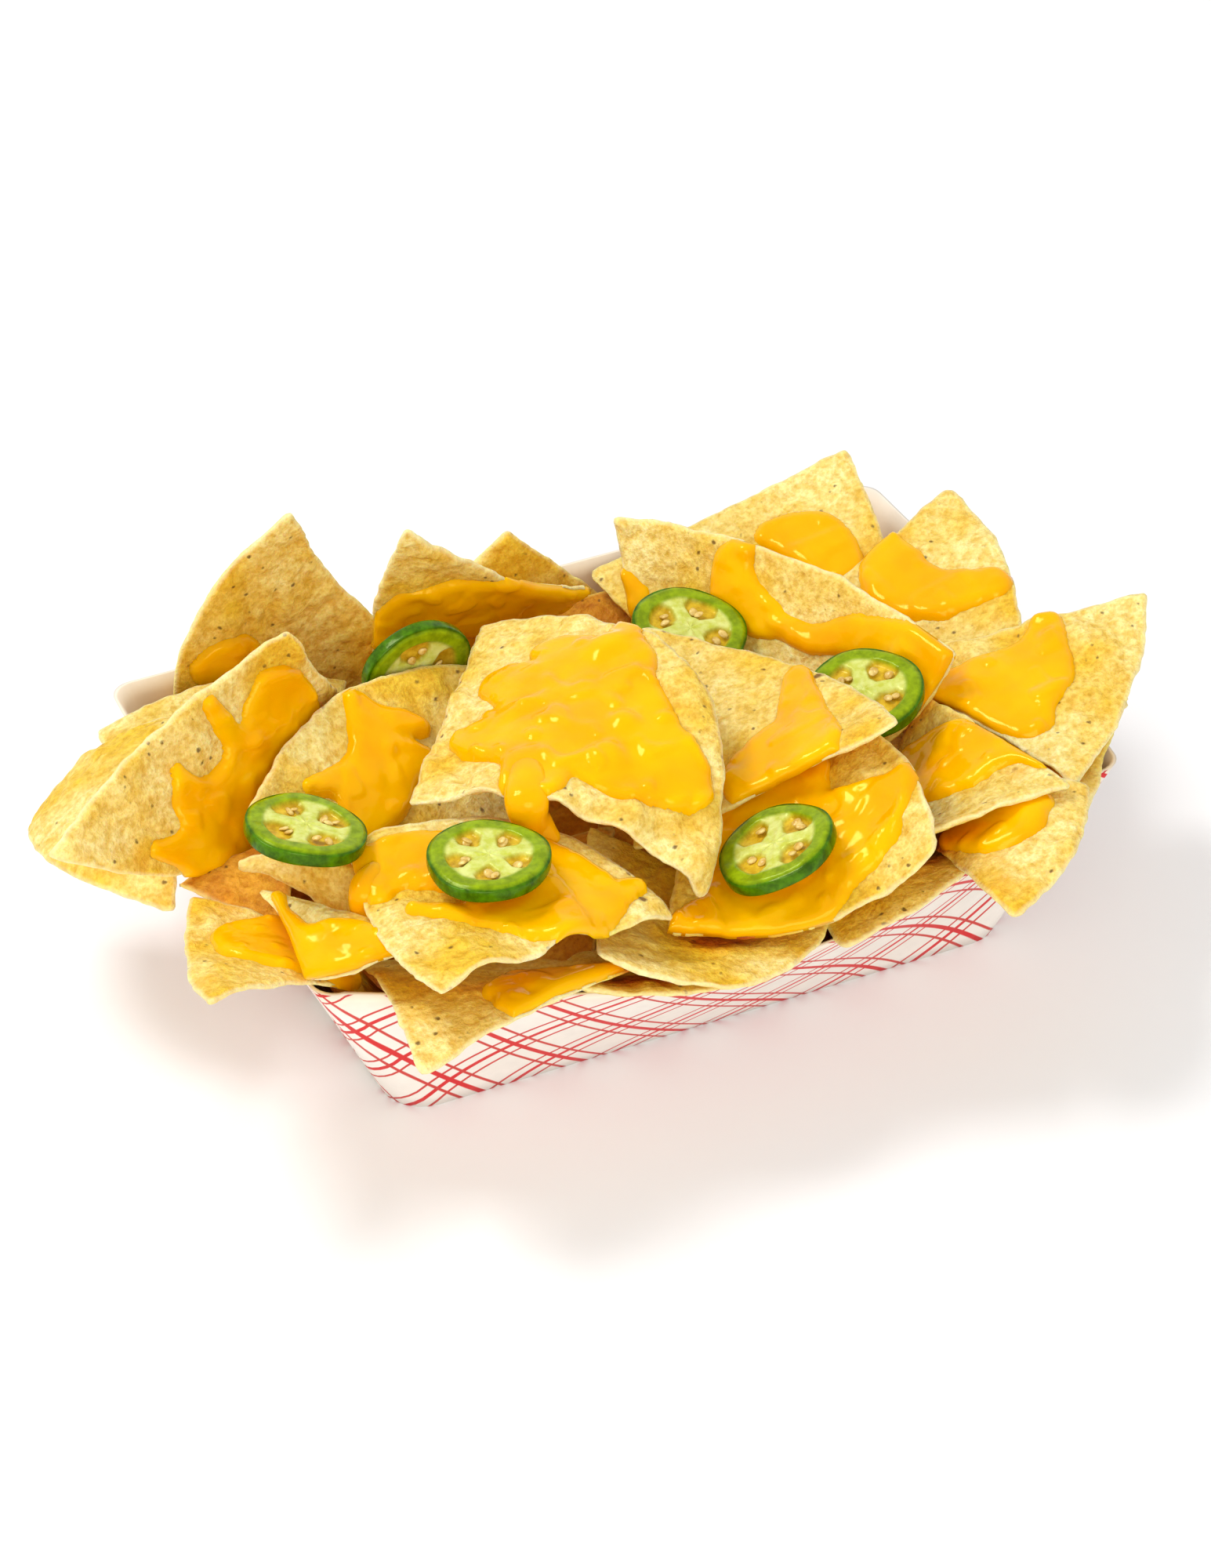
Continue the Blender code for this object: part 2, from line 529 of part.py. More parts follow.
def make_heap(chips):
    """The chips' own core: filled up to just under the lowest chip above each place."""
    tree = chip_tree(chips)
    across_x = round(BASE_LENGTH / HEAP_CELL)
    across_y = round(BASE_WIDTH / HEAP_CELL)
    ceiling = {}
    probes_x, probes_y = HEAP_PROBES * across_x, HEAP_PROBES * across_y
    for i in range(probes_x + 1):
        for j in range(probes_y + 1):
            ceiling[i, j] = free_height(tree, 2.0 * i / probes_x - 1.0, 2.0 * j / probes_y - 1.0)
    points, faces = [], []
    for level in (0, 1):
        for i in range(across_x + 1):
            for j in range(across_y + 1):
                top = max(HEAP_LEAST, lowest_near(ceiling, HEAP_PROBES * i, HEAP_PROBES * j) - HEAP_STEP)
                s, t = 2.0 * i / across_x - 1.0, 2.0 * j / across_y - 1.0
                points.append(tray_inside(s, t, top if level else HEAP_FLOOR))
    width = across_y + 1
    layer = (across_x + 1) * width
    for i in range(across_x):
        for j in range(across_y):
            corner = i * width + j
            cell = (corner, corner + width, corner + width + 1, corner + 1)
            faces.append(tuple(k + layer for k in cell))
    rim = [i * width for i in range(across_x)] + [across_x * width + j for j in range(across_y)]
    rim += [i * width + across_y for i in range(across_x, 0, -1)] + [j for j in range(across_y, 0, -1)]
    for k, start in enumerate(rim):
        end = rim[(k + 1) % len(rim)]
        faces.append((start, end, end + layer, start + layer))
    faces.append(tuple(reversed(rim)))
    return add_piece("chip_heap", "corn", points, faces)


def main():
    clear_scene()
    make_tray()
    chips = [make_chip(chip) for chip in CHIPS]
    for cheese in CHEESE:
        make_cheese(cheese)
    for pepper in PEPPERS:
        make_slice(pepper)
    make_heap(chips)


main()
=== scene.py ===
"""Nachos in a folded paper tray: the dressed model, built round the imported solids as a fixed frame."""
import math
import random

import bmesh
import bpy
import numpy as np
from mathutils import Euler, Matrix, Vector
from mathutils.bvhtree import BVHTree


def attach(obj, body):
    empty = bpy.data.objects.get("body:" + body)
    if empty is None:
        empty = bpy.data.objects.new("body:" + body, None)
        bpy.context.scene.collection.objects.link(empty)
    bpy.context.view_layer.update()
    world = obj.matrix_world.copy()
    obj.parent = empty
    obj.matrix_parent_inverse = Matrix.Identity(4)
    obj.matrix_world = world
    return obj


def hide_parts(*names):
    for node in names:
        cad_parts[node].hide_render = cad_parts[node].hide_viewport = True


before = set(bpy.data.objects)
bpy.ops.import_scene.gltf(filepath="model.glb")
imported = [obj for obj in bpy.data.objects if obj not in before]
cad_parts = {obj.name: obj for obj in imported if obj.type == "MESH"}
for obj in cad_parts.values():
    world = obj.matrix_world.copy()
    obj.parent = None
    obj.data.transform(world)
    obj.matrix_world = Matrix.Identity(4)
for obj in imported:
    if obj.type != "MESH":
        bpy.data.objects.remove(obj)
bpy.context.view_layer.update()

bl_info = {
    "name": "Nachos in a paper tray",
    "version": (1, 0, 0),
    "blender": (4, 5, 0),
    "location": "3D View > Sidebar > Nachos",
    "description": "Builds tortilla chips with cheese sauce and jalapeno slices in a checked paper tray",
    "category": "Object",
}

MM = 0.001

# Folded tray, in mm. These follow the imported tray.
BASE_LENGTH = 143.0
BASE_WIDTH = 98.0
BASE_CORNER = 9.0
WALL_SLANT = 47.0
RIM_HEIGHT = 45.0
END_FLARE = 20.5
END_BULGE = 2.0
BACK_FLARE = 9.5
FRONT_FLARE = 9.5
FRONT_BULGE = 19.0
FRONT_FULLNESS = 2.1
RIM_CORNER = 5.0

# Points along the front, each end, the back and each corner of one loop round the tray.
FRONT_STEPS = 60
END_STEPS = 20
BACK_STEPS = 40
CORNER_STEPS = 5

# Chips and slices in mm, and mesh cells along a side of the pieces that have no setting for them.
CHIP_HALF = 0.8
SLICE_RADIUS = 12.45
SLICE_HALF = 1.9
SAUCE_CELLS = 110
TUCKED_CELLS = 44
LOOSE_CELLS = 20

# Each chip: its point's place in mm, turn in degrees, the two cut sides' lengths, the angle between them,
# the lifts and bows of its three sides, and how blistered it is.
CHIPS = (
    ("chip_back_left", (-20.5, 54.5, 36), (-94, -57, -167), (60.5, 59), 81, (-1, -1, -5), (-3, 1, 16), 0.6),
    ("chip_far_left", (-99.5, 45.5, 44), (-3, -3, -96), (52.5, 57), 94, (0.5, 6.5, 1), (0, -0.5, 8), 0.35),
    ("chip_left_big", (-70, 7, 87.5), (-109, 14, -156), (73, 68.5), 115, (-3.5, 8, 20), (0, -3.5, 7.5), 0.7),
    ("chip_left_under", (-65.5, 21, 53.5), (-1, 23, 158), (55.5, 57.5), 63, (11.5, 8.5, 11), (0, -2, 11.5),
     0.35),
    ("chip_mid_left_back", (12, 37, 53.5), (-110, -36, -171), (57.5, 58.5), 79, (2, -3, -1.5), (-2, 0, 5),
     0.55),
    ("chip_mid_back", (1, 56.5, 60.5), (-76, 34, -170), (40, 58), 98, (0.5, 1, -1.5), (0, 0, 8), 0.35),
    ("chip_left_mid", (-40, -40.5, 30), (29, -19, 60), (64.5, 64), 84, (-1, -1.5, 1.5), (0, 0, 15.5), 0.35),
    ("chip_left_curl", (-96, -24, 56), (43, 18, -65), (34.5, 25), 39, (-4.5, 0.5, 1), (-5.5, 3.5, 7), 0.35),
    ("chip_front_left", (-105, -21.5, 49), (-32, -15, -107), (53.5, 50), 77, (-3.5, 5.5, 5), (1, -2, -2.5),
     0.35),
    ("chip_front_left_inner", (-94, -32, 54.5), (17, 7, -91), (27, 39), 36, (1, 1.5, 2.5), (-1.5, 0.5, 4),
     0.35),
    ("chip_top_centre", (-60, -32.5, 64), (0, 9, -41), (62.5, 64.5), 94, (12, 0, 20), (-1, 0.5, 20), 1.0),
    ("chip_front_mid", (-79.5, -89.5, 66), (1, 11, 13), (61, 53.5), 73, (1, -5, 5.5), (-1.5, 2, 13.5), 0.55),
    ("chip_front_low", (-83.5, -89.5, 45.5), (-18, 0, 13), (56.5, 60.5), 69, (3, 9, -3.5), (1, -0.5, 8),
     0.35),
    ("chip_front_sliver", (-28.5, -27.5, 15.5), (7, -29, -108), (58, 55), 56, (0, 6.5, -5.5), (-2.5, 0, 15),
     0.35),
    ("chip_front_right_low", (-17.5, -25.5, 41.5), (-6, -13, -113), (61, 58.5), 62, (-2.5, -3.5, -7),
     (0, 0, 12.5), 0.35),
    ("chip_right_centre", (-21, -71, 47.5), (1, -16, -19), (57, 63.5), 77, (-8.5, -1, 4), (1.5, 0, 17), 0.6),
    ("chip_centre_right_back", (-15.5, -43.5, 46.5), (7, -27, -18), (61.5, 63), 77, (-0.5, 1.5, -8),
     (0, 0, 8), 0.35),
    ("chip_back_mid", (5.5, -19, 39.5), (15, -23, -13), (66, 74.5), 82, (-12.5, -15.5, 0.5), (6.5, 3.5, 6.5),
     0.5),
    ("chip_back_right", (81.5, 50.5, 61.5), (-14, 14, 178), (64.5, 64.5), 81, (-1, 0, -0.5), (0, 0, 14.5),
     0.35),
    ("chip_right_back", (40, 11, 46), (14, -3, -64), (60, 60), 81, (-3.5, 0.5, -1.5), (0, -0.5, 11.5), 0.35),
    ("chip_right_big", (73.5, -69, 52), (-10, -12, 45), (57, 59.5), 65, (-2, 1.5, 1), (3, -2.5, 2), 0.5),
    ("chip_right_low", (52.5, -47, 27.5), (32, -22, -100), (57, 43), 47, (8, 11.5, -2), (0.5, -1.5, 4.5),
     0.35),
    ("chip_right_mid", (69.5, -75, 57.5), (-3, 6, 101), (50, 42.5), 76, (2, 1.5, -16), (-1, 0, 7.5), 0.35),
    ("chip_right_under", (3.5, -24.5, 29.5), (-11, -9, -80), (59, 51), 50, (4, -1, 11.5), (-3, 0, 17), 0.35),
    ("chip_right_end", (52, -22.5, 21), (6, -22, -78), (67.5, 61.5), 72, (5, 22.5, 6.5), (0.5, -1.5, 4),
     0.35),
)

# Frilled sides: which side (0 and 1 the cut sides, 2 the arc), height in mm, waves along it, start of the
# first wave and how far in they reach, as a share of the chip.
RUFFLES = {
    "chip_top_centre": ((0, 1.6, 4.5, 0.2, 0.09),),
    "chip_front_mid": ((0, 1.3, 3.0, 0.6, 0.1),),
    "chip_left_big": ((2, 0.9, 3.5, 0.1, 0.1),),
    "chip_right_big": ((2, 0.8, 3.0, 0.4, 0.1),),
}

# Sauce: the piece it stands for, the chip it lies on, and its runs of stations: two shares across the chip
# and the half width in mm.
CHEESE = (
    ("cheese_back_left", "chip_back_left", (
        ((0.44, 0.46, 4.5), (0.42, 0.41, 7.5), (0.36, 0.38, 4.5)),
    )),
    ("cheese_left_big", "chip_left_big", (
        ((0.33, 0.03, 2), (0.34, 0.1, 2.5), (0.36, 0.19, 3), (0.4, 0.24, 4)),
        ((0.16, 0.11, 4), (0.19, 0.21, 10), (0.26, 0.31, 14.5), (0.37, 0.33, 15), (0.49, 0.32, 13.5),
         (0.6, 0.3, 10)),
        ((0.54, 0.1, 2), (0.56, 0.15, 4), (0.57, 0.21, 6.5), (0.59, 0.29, 8.5)),
        ((0.74, 0.17, 2), (0.69, 0.22, 3.5), (0.64, 0.29, 5)),
    )),
    ("cheese_mid_left_back", "chip_mid_left_back", (
        ((0.5, 0.39, 7), (0.44, 0.32, 13), (0.31, 0.26, 15), (0.16, 0.17, 11.5), (0.08, 0.09, 7.5),
         (-0.01, 0.01, 5)),
        ((0.09, 0.34, 3), (0.07, 0.28, 4.5), (-0.03, 0.2, 6.5), (-0.01, 0.03, 4.5)),
    )),
    ("cheese_left_mid", "chip_left_mid", (
        ((0.43, 0.55, 2.5), (0.4, 0.51, 4.5), (0.34, 0.5, 5), (0.29, 0.47, 8), (0.21, 0.5, 8),
         (0.12, 0.54, 4)),
        ((0.41, 0.49, 4), (0.46, 0.41, 3.5), (0.5, 0.33, 2)),
        ((0.31, 0.47, 5), (0.36, 0.39, 4.5), (0.41, 0.32, 2.5)),
        ((0.14, 0.73, 2), (0.19, 0.62, 4), (0.22, 0.54, 6.5)),
    )),
    ("cheese_top_centre", "chip_top_centre", (
        ((0.3, 0.72, 2.5), (0.33, 0.56, 6.5), (0.39, 0.39, 9.5), (0.51, 0.25, 10.5), (0.66, 0.17, 9),
         (0.76, 0.15, 4.5)),
        ((0.17, 0.66, 4), (0.24, 0.58, 8), (0.32, 0.5, 10.5)),
        ((0.1, 0.56, 5.5), (0.17, 0.5, 7.5), (0.31, 0.41, 11.5)),
        ((0.09, 0.28, 4), (0.16, 0.26, 8), (0.26, 0.29, 12.5), (0.4, 0.24, 12), (0.54, 0.17, 10)),
        ((0.3, 0.18, 8), (0.35, 0.06, 7)),
    )),
    ("cheese_front_mid", "chip_front_mid", (
        ((0, 0.88, 3), (0.05, 0.78, 6.5), (0.14, 0.69, 7.5), (0.22, 0.59, 9), (0.35, 0.44, 10),
         (0.49, 0.31, 10.5), (0.61, 0.17, 10.5), (0.72, 0.12, 5.5), (0.84, 0.11, 2.5)),
        ((0.11, 0.46, 2), (0.21, 0.34, 3), (0.35, 0.21, 5.5), (0.5, 0.11, 7.5), (0.6, 0.07, 7)),
        ((0.02, 0.79, 4), (0.04, 0.67, 3)),
    )),
    ("cheese_front_left", "chip_front_left", (
        ((0.3, 0.2, 5.5), (0.29, 0.29, 9.5), (0.23, 0.41, 11), (0.14, 0.53, 11)),
    )),
    ("cheese_front_left_inner", "chip_front_left_inner", (
        ((0.71, -0.04, 3.5), (0.63, 0.12, 6), (0.46, 0.38, 7.5), (0.33, 0.62, 7), (0.21, 0.82, 5)),
        ((0.09, 0.1, 1.5), (0.33, 0.05, 2), (0.56, 0.03, 3.5)),
    )),
    ("cheese_front_low", "chip_front_low", (
        ((0.39, 0.15, 3.5), (0.49, 0.14, 6.5), (0.61, 0.08, 7), (0.74, 0.04, 4.5), (0.86, 0.01, 2.5)),
        ((0.41, 0.07, 3.5), (0.49, 0, 4), (0.61, 0, 4.5)),
    )),
    ("cheese_right_centre", "chip_right_centre", (
        ((0.02, -0.01, 3.5), (0.12, 0.03, 7), (0.24, 0.04, 9), (0.33, 0.11, 13), (0.39, 0.18, 14),
         (0.47, 0.21, 13), (0.58, 0.21, 10.5), (0.68, 0.23, 5.5), (0.72, 0.26, 2.5)),
        ((0.23, 0.12, 8.5), (0.22, 0.28, 10.5), (0.23, 0.41, 11.5), (0.26, 0.5, 11), (0.31, 0.53, 6.5)),
        ((0.21, -0.02, 4), (0.31, -0.03, 3.5), (0.41, -0.03, 3)),
    )),
    ("cheese_centre_right", "chip_centre_right_back", (
        ((0.5, 0.44, 3.5), (0.54, 0.31, 5), (0.6, 0.16, 6.5), (0.62, 0.04, 8.5)),
        ((0.41, 0.11, 5.5), (0.5, 0.07, 11), (0.56, 0.09, 12)),
    )),
    ("cheese_back_mid", "chip_back_mid", (
        ((0.35, 0.63, 3.5), (0.31, 0.62, 5.5), (0.31, 0.56, 6), (0.38, 0.47, 4)),
        ((0.34, 0.47, 2.5), (0.42, 0.41, 3), (0.51, 0.33, 3.5), (0.64, 0.25, 4.5), (0.77, 0.16, 5),
         (0.91, 0.06, 4), (0.96, 0.03, 2.5)),
        ((0.79, 0.12, 5.5), (0.88, 0.05, 6), (0.86, 0.01, 5)),
    )),
    ("cheese_back_mid_end", "chip_back_mid", (
        ((-0.02, 0.88, 2), (-0.01, 0.83, 4.5), (0.01, 0.78, 4.5)),
    )),
    ("cheese_back_right", "chip_back_right", (
        ((0.35, 0.16, 2.5), (0.29, 0.18, 5), (0.21, 0.25, 7.5), (0.16, 0.36, 6.5), (0.12, 0.42, 3.5)),
    )),
    ("cheese_right_back", "chip_right_back", (
        ((0.01, 0.66, 2.5), (0.07, 0.56, 6.5), (0.16, 0.47, 8.5), (0.26, 0.46, 7.5), (0.33, 0.51, 6),
         (0.37, 0.56, 4.5)),
    )),
    ("cheese_right_big", "chip_right_big", (
        ((0.6, 0.35, 3.5), (0.44, 0.36, 6.5), (0.27, 0.39, 11), (0.16, 0.5, 10), (0.08, 0.63, 6.5)),
        ((0.13, 0.31, 6), (0.14, 0.42, 8.5)),
    )),
    ("cheese_right_mid", "chip_right_mid", (
        ((0.6, 0.23, 8.5), (0.5, 0.17, 11), (0.42, 0.07, 7.5), (0.32, 0, 4.5), (0.22, -0.04, 3.5)),
    )),
    ("cheese_right_low", "chip_right_low", (
        ((0.3, 0.22, 7), (0.33, 0.33, 8.5), (0.29, 0.47, 7), (0.23, 0.59, 4)),
    )),
)

# Jalapeno slices: middle in mm, turn in degrees, arms of the pith and where the first arm points.
PEPPERS = (
    ("jalapeno_left_back", (-38, 16.5, 60.5), (-97, -23, -172), 4, 0.15),
    ("jalapeno_left", (-85, -36, 70), (-3, 13, 0), 4, 0.4),
    ("jalapeno_front", (-55.5, -60, 69.5), (-2, 1, 0), 5, 0.1),
    ("jalapeno_right", (4.5, -69, 59), (-10, -21, 0), 4, 0.3),
    ("jalapeno_back", (23.5, 11, 55), (13, 5, 0), 4, 0.0),
    ("jalapeno_back_right", (44, -31, 60), (5, -12, 0), 4, 0.2),
)

# Sauce that hangs over a chip's edge: places in mm with the half width there.
DRIPS = (
    ("sauce_top_centre_drip", ((-38, -38.5, 73, 4), (-40, -44.5, 73, 4.5), (-42, -49, 72, 4.5),
                               (-41.5, -49.5, 68.5, 4),
                               (-39.5, -49, 65, 3.5), (-38, -50.5, 63, 2.5))),
    ("sauce_front_mid_drip", ((-74.5, -47, 63.5, 2.5), (-77.5, -49, 63, 3), (-79, -51, 61.5, 3),
                              (-78.5, -50.5, 58, 3),
                              (-78.5, -50, 55.5, 2.5))),
)

# Chips of the heap that show through the gaps between the others, in the same terms as CHIPS.
TUCKED = (
    ("tucked_left", (-106, -15, 48), (6, 7, -57), (26, 23.5), 64, (1, 1, 2), (0, 0, 3), 0.5),
)


# ---------------------------------------------------------------- colour, noise and meshes

def linear(code):
    """An sRGB hex colour as linear red, green, blue and alpha."""
    channels = [int(code[k:k + 2], 16) / 255.0 for k in (1, 3, 5)]
    return tuple(c / 12.92 if c <= 0.04045 else ((c + 0.055) / 1.055) ** 2.4 for c in channels) + (1.0,)


def noise(points, size, seed):
    """Smooth lumps from -1 to 1 at places in metres, each lump about size mm across."""
    scaled = np.asarray(points) / (size * MM)
    cell = np.floor(scaled)
    blend = scaled - cell
    blend = blend * blend * (3.0 - 2.0 * blend)
    total = np.zeros(len(scaled))
    for corner in range(8):
        step = np.array((corner & 1, corner >> 1 & 1, corner >> 2 & 1))
        weight = np.prod(np.where(step, blend, 1.0 - blend), axis=1)
        mixed = np.sin((cell + step) @ np.array((127.1, 311.7, 74.7)) + 53.3 * seed) * 43758.5453
        total += weight * (mixed - np.floor(mixed))
    return 2.0 * total - 1.0


def ease(value, low, high):
    """0 below low, 1 above high and a soft step between."""
    t = np.clip((value - low) / (high - low), 0.0, 1.0)
    return t * t * (3.0 - 2.0 * t)


def unit(vectors):
    return vectors / np.linalg.norm(vectors, axis=-1, keepdims=True)


def new_object(name, data):
    """An object of the scene, at the origin."""
    piece = bpy.data.objects.new(name, data)
    bpy.context.scene.collection.objects.link(piece)
    return piece


def write_values(mesh, key, value):
    """One number for each point of a mesh, under a name that its material reads."""
    layer = mesh.attributes.new(key, "FLOAT", "POINT")
    layer.data.foreach_set("value", np.asarray(value, np.float32))


def make_object(name, points, faces, materials, values=None, numbers=None):
    """A smooth-shaded object from places in metres, with its own attributes and material numbers."""
    mesh = bpy.data.meshes.new(name)
    mesh.from_pydata(np.asarray(points).tolist(), [], faces if isinstance(faces, list) else faces.tolist())
    for material in materials:
        mesh.materials.append(material)
    mesh.polygons.foreach_set("use_smooth", np.ones(len(mesh.polygons), bool))
    if numbers is not None:
        mesh.polygons.foreach_set("material_index", np.asarray(numbers, np.int32))
    for key, value in (values or {}).items():
        write_values(mesh, key, value)
    mesh.validate()
    mesh.update()
    return new_object(name, mesh)


def shade_piece(piece, around, start=2.6):
    """Gives a finished mesh its painted shade, from its own faces and what stands around it."""
    count = len(piece.data.vertices)
    points, normals = np.empty(3 * count), np.empty(3 * count)
    piece.data.vertices.foreach_get("co", points)
    piece.data.vertex_normals.foreach_get("vector", normals)
    faces = [tuple(face.vertices) for face in piece.data.polygons]
    shade = sky_blocked(around, points.reshape(-1, 3), normals.reshape(-1, 3), faces, start=start)
    write_values(piece.data, "shade", shade)


def finish_piece(piece, slot, *nodes):
    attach(piece, "root")
    if nodes:
        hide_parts(*nodes)


def solid_tree(*left_out):
    """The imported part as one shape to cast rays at, without the named nodes."""
    points, faces = [], []
    for name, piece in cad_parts.items():
        if name in left_out:
            continue
        start = len(points)
        points += [corner.co.copy() for corner in piece.data.vertices]
        faces += [tuple(start + k for k in face.vertices) for face in piece.data.polygons]
    return BVHTree.FromPolygons(points, faces)


def sky_blocked(tree, points, normals, faces, rays=6, start=2.6, reach=38.0, rounds=45):
    """How much of what each place looks out at is filled by its neighbours, from 0 to 1, evened out."""
    scatter = np.random.default_rng(3)
    blocked = np.zeros(len(points))
    origins = [Vector(origin) for origin in points + normals * start * MM]
    cast = tree.ray_cast
    for _ in range(rays):
        aims = normals + unit(scatter.normal(size=normals.shape)) * 0.98
        for k, aim in enumerate(aims):
            if cast(origins[k], Vector(aim), reach * MM)[0] is not None:
                blocked[k] += 1.0 / rays
    pairs = np.array([(face[k - 1], face[k]) for face in faces for k in range(len(face))])
    count = np.bincount(pairs.ravel(), minlength=len(points))
    for _ in range(rounds):
        total = np.bincount(pairs[:, 0], blocked[pairs[:, 1]], len(points))
        total += np.bincount(pairs[:, 1], blocked[pairs[:, 0]], len(points))
        blocked = 0.3 * blocked + 0.7 * total / np.maximum(count, 1)
    return blocked


# ---------------------------------------------------------------- wedge-shaped chips

def outward(start, end, inside):
    along = unit(end - start)
    side = np.array((along[1], -along[0], 0.0))
    return side if side @ ((start + end) / 2.0 - inside) > 0.0 else -side


def wedge_controls(spot, turn, radii, opening, lifts, bows):
    """The curved triangle's point, its two arc ends and the pull on the middle of each side, in metres."""
    angle = math.radians(opening)
    point, up = np.zeros(3), np.array((0.0, 0.0, 1.0))
    first = np.array((radii[0], 0.0, 0.0))
    second = np.array((radii[1] * math.cos(angle), radii[1] * math.sin(angle), 0.0))
    mid_first = first / 2.0 + 2.0 * (outward(point, first, second) * bows[0] + up * lifts[0])
    mid_second = second / 2.0 + 2.0 * (outward(point, second, first) * bows[1] + up * lifts[1])
    mid_arc = (first + second) / 2.0 + 2.0 * (outward(first, second, point) * bows[2] + up * lifts[2])
    spin = np.array(Euler([math.radians(a) for a in turn]).to_matrix())
    controls = np.stack([point, first, second, mid_first, mid_second, mid_arc])
    return (controls @ spin.T + np.array(spot)) * MM


def on_wedge(controls, u, v):
    """Places and upward normals of the curved triangle at u along the first side and v along the second."""
    point, first, second, mid_first, mid_second, mid_arc = controls[:, None, :]
    u, v = np.asarray(u)[:, None], np.asarray(v)[:, None]
    w = 1.0 - u - v
    place = point * w * w + first * u * u + second * v * v
    place = place + 2.0 * (mid_first * w * u + mid_second * w * v + mid_arc * u * v)
    slope_u = (mid_first - point) * w + (first - mid_first) * u + (mid_arc - mid_second) * v
    slope_v = (mid_second - point) * w + (mid_arc - mid_first) * u + (second - mid_second) * v
    return place, unit(np.cross(slope_u, slope_v))


def chip_surface(chip, u, v):
    """The middle of the chip's thickness, with the waves and blisters that frying gave it."""
    place, normal = on_wedge(wedge_controls(*chip[1:7]), u, v)
    seed, blistered = len(chip[0]) + 7.0 * chip[3][0], chip[7]
    rise = 0.55 * noise(place, 23.0, seed) + 0.3 * noise(place, 11.0, seed + 1.0)
    rise = rise + blistered * 1.5 * ease(noise(place, 7.5, seed + 2.0), 0.05, 0.7)
    rise = rise + (0.2 + 0.5 * blistered) * ease(noise(place, 3.6, seed + 3.0), 0.1, 0.6)
    for ruffle in RUFFLES.get(chip[0], ()):
        side, height, waves, start, depth = ruffle
        along, away = ((u, v), (v, u), (u, 1.0 - np.asarray(u) - v))[side]
        fade = np.exp(-np.asarray(away) / depth)
        rise = rise + height * fade * np.sin(2.0 * math.pi * (waves * np.asarray(along) + start))
    return place + normal * (rise * MM)[:, None], normal


def lattice(cells):
    """Shares u and v of every lattice point of a triangle, and its faces."""
    rows, spots, faces = {}, [], []
    for i in range(cells + 1):
        for j in range(cells + 1 - i):
            rows[i, j] = len(spots)
            spots.append((i / cells, j / cells))
    for i in range(cells):
        for j in range(cells - i):
            faces.append((rows[i, j], rows[i + 1, j], rows[i, j + 1]))
            if i + j < cells - 1:
                faces.append((rows[i + 1, j], rows[i + 1, j + 1], rows[i, j + 1]))
    border = [rows[k, 0] for k in range(cells)]
    border += [rows[cells - k, k] for k in range(cells)]
    border += [rows[0, cells - k] for k in range(cells)]
    spots = np.array(spots)
    return spots[:, 0], spots[:, 1], np.array(faces), np.array(border)


def worn_outline(place, normal, border, corner, seed):
    """Moves the outline to rounded corners and a crumbly edge, and draws the inside along with it."""
    edge = place[border]
    count = len(edge)
    step = np.linalg.norm(np.roll(edge, -1, 0) - edge, axis=1).mean()
    reach = int(3.0 * corner * MM / step)
    offsets = np.arange(-reach, reach + 1)
    weights = np.exp(-0.5 * (offsets * step / (corner * MM)) ** 2)
    rounded = sum(w * np.roll(edge, -k, 0) for k, w in zip(offsets, weights)) / weights.sum()
    along = unit(np.roll(edge, -1, 0) - np.roll(edge, 1, 0))
    out = np.cross(along, normal[border])
    crumble = 0.55 * noise(edge, 8.0, seed) + 0.3 * noise(edge, 3.0, seed + 1.0) + 0.16 * noise(edge, 1.3,
                                                                                                seed + 2.0)
    move = rounded - edge + out * (crumble * MM)[:, None]
    gap = np.linalg.norm(place[:, None] - edge[None], axis=2)
    near = np.exp(-(gap / (1.6 * MM)) ** 2) + 1e-12
    pull = (near @ move) / near.sum(1)[:, None]
    closest = gap.min(1)
    fade = np.exp(-(closest / (3.5 * MM)) ** 2)
    moved = place + pull * fade[:, None]
    moved[border] = edge + move
    return moved, closest


def chip_solid(chip, cells, corner):
    """Points, faces and edge distance of one fried chip: two blistered faces and a thin broken edge."""
    u, v, faces, border = lattice(cells)
    place, normal = chip_surface(chip, u, v)
    seed = 3.0 * chip[3][1] + len(chip[0])
    place, closest = worn_outline(place, normal, border, corner, seed)
    half = CHIP_HALF * MM * (0.42 + 0.58 * ease(closest, 0.0, 1.5 * MM))
    lumps = 0.3 * noise(place, 3.0, seed) + 0.2 * noise(place, 1.7, seed + 1.0)
    pits = 0.22 * noise(place, 3.2, seed + 4.0) + 0.12 * noise(place, 1.8, seed + 5.0)
    upper = place + normal * (half + lumps * MM)[:, None]
    lower = place - normal * (half + pits * MM)[:, None]
    count = len(place)
    after = np.roll(border, -1)
    rim = np.stack([border, border + count, after + count, after], 1)
    all_faces = faces.tolist() + (faces[:, ::-1] + count).tolist() + rim.tolist()
    points = np.concatenate([upper, lower])
    facing = np.concatenate([normal, -normal])
    return points, all_faces, np.concatenate([closest, closest]) / MM, facing


# ---------------------------------------------------------------- sauce

def smooth_run(run, steps):
    """More stations along a run, on a Catmull-Rom curve through its points."""
    nodes = np.array(run, float)
    padded = np.concatenate([nodes[:1], nodes, nodes[-1:]])
    stations = []
    for i in range(len(nodes) - 1):
        a, b, c, d = padded[i:i + 4]
        for t in np.arange(steps) / steps:
            bend = (2 * a - 5 * b + 4 * c - d) * t * t + (3 * b - a - 3 * c + d) * t ** 3
            stations.append((2 * b + (c - a) * t + bend) / 2)
    return np.array(stations + [nodes[-1]])


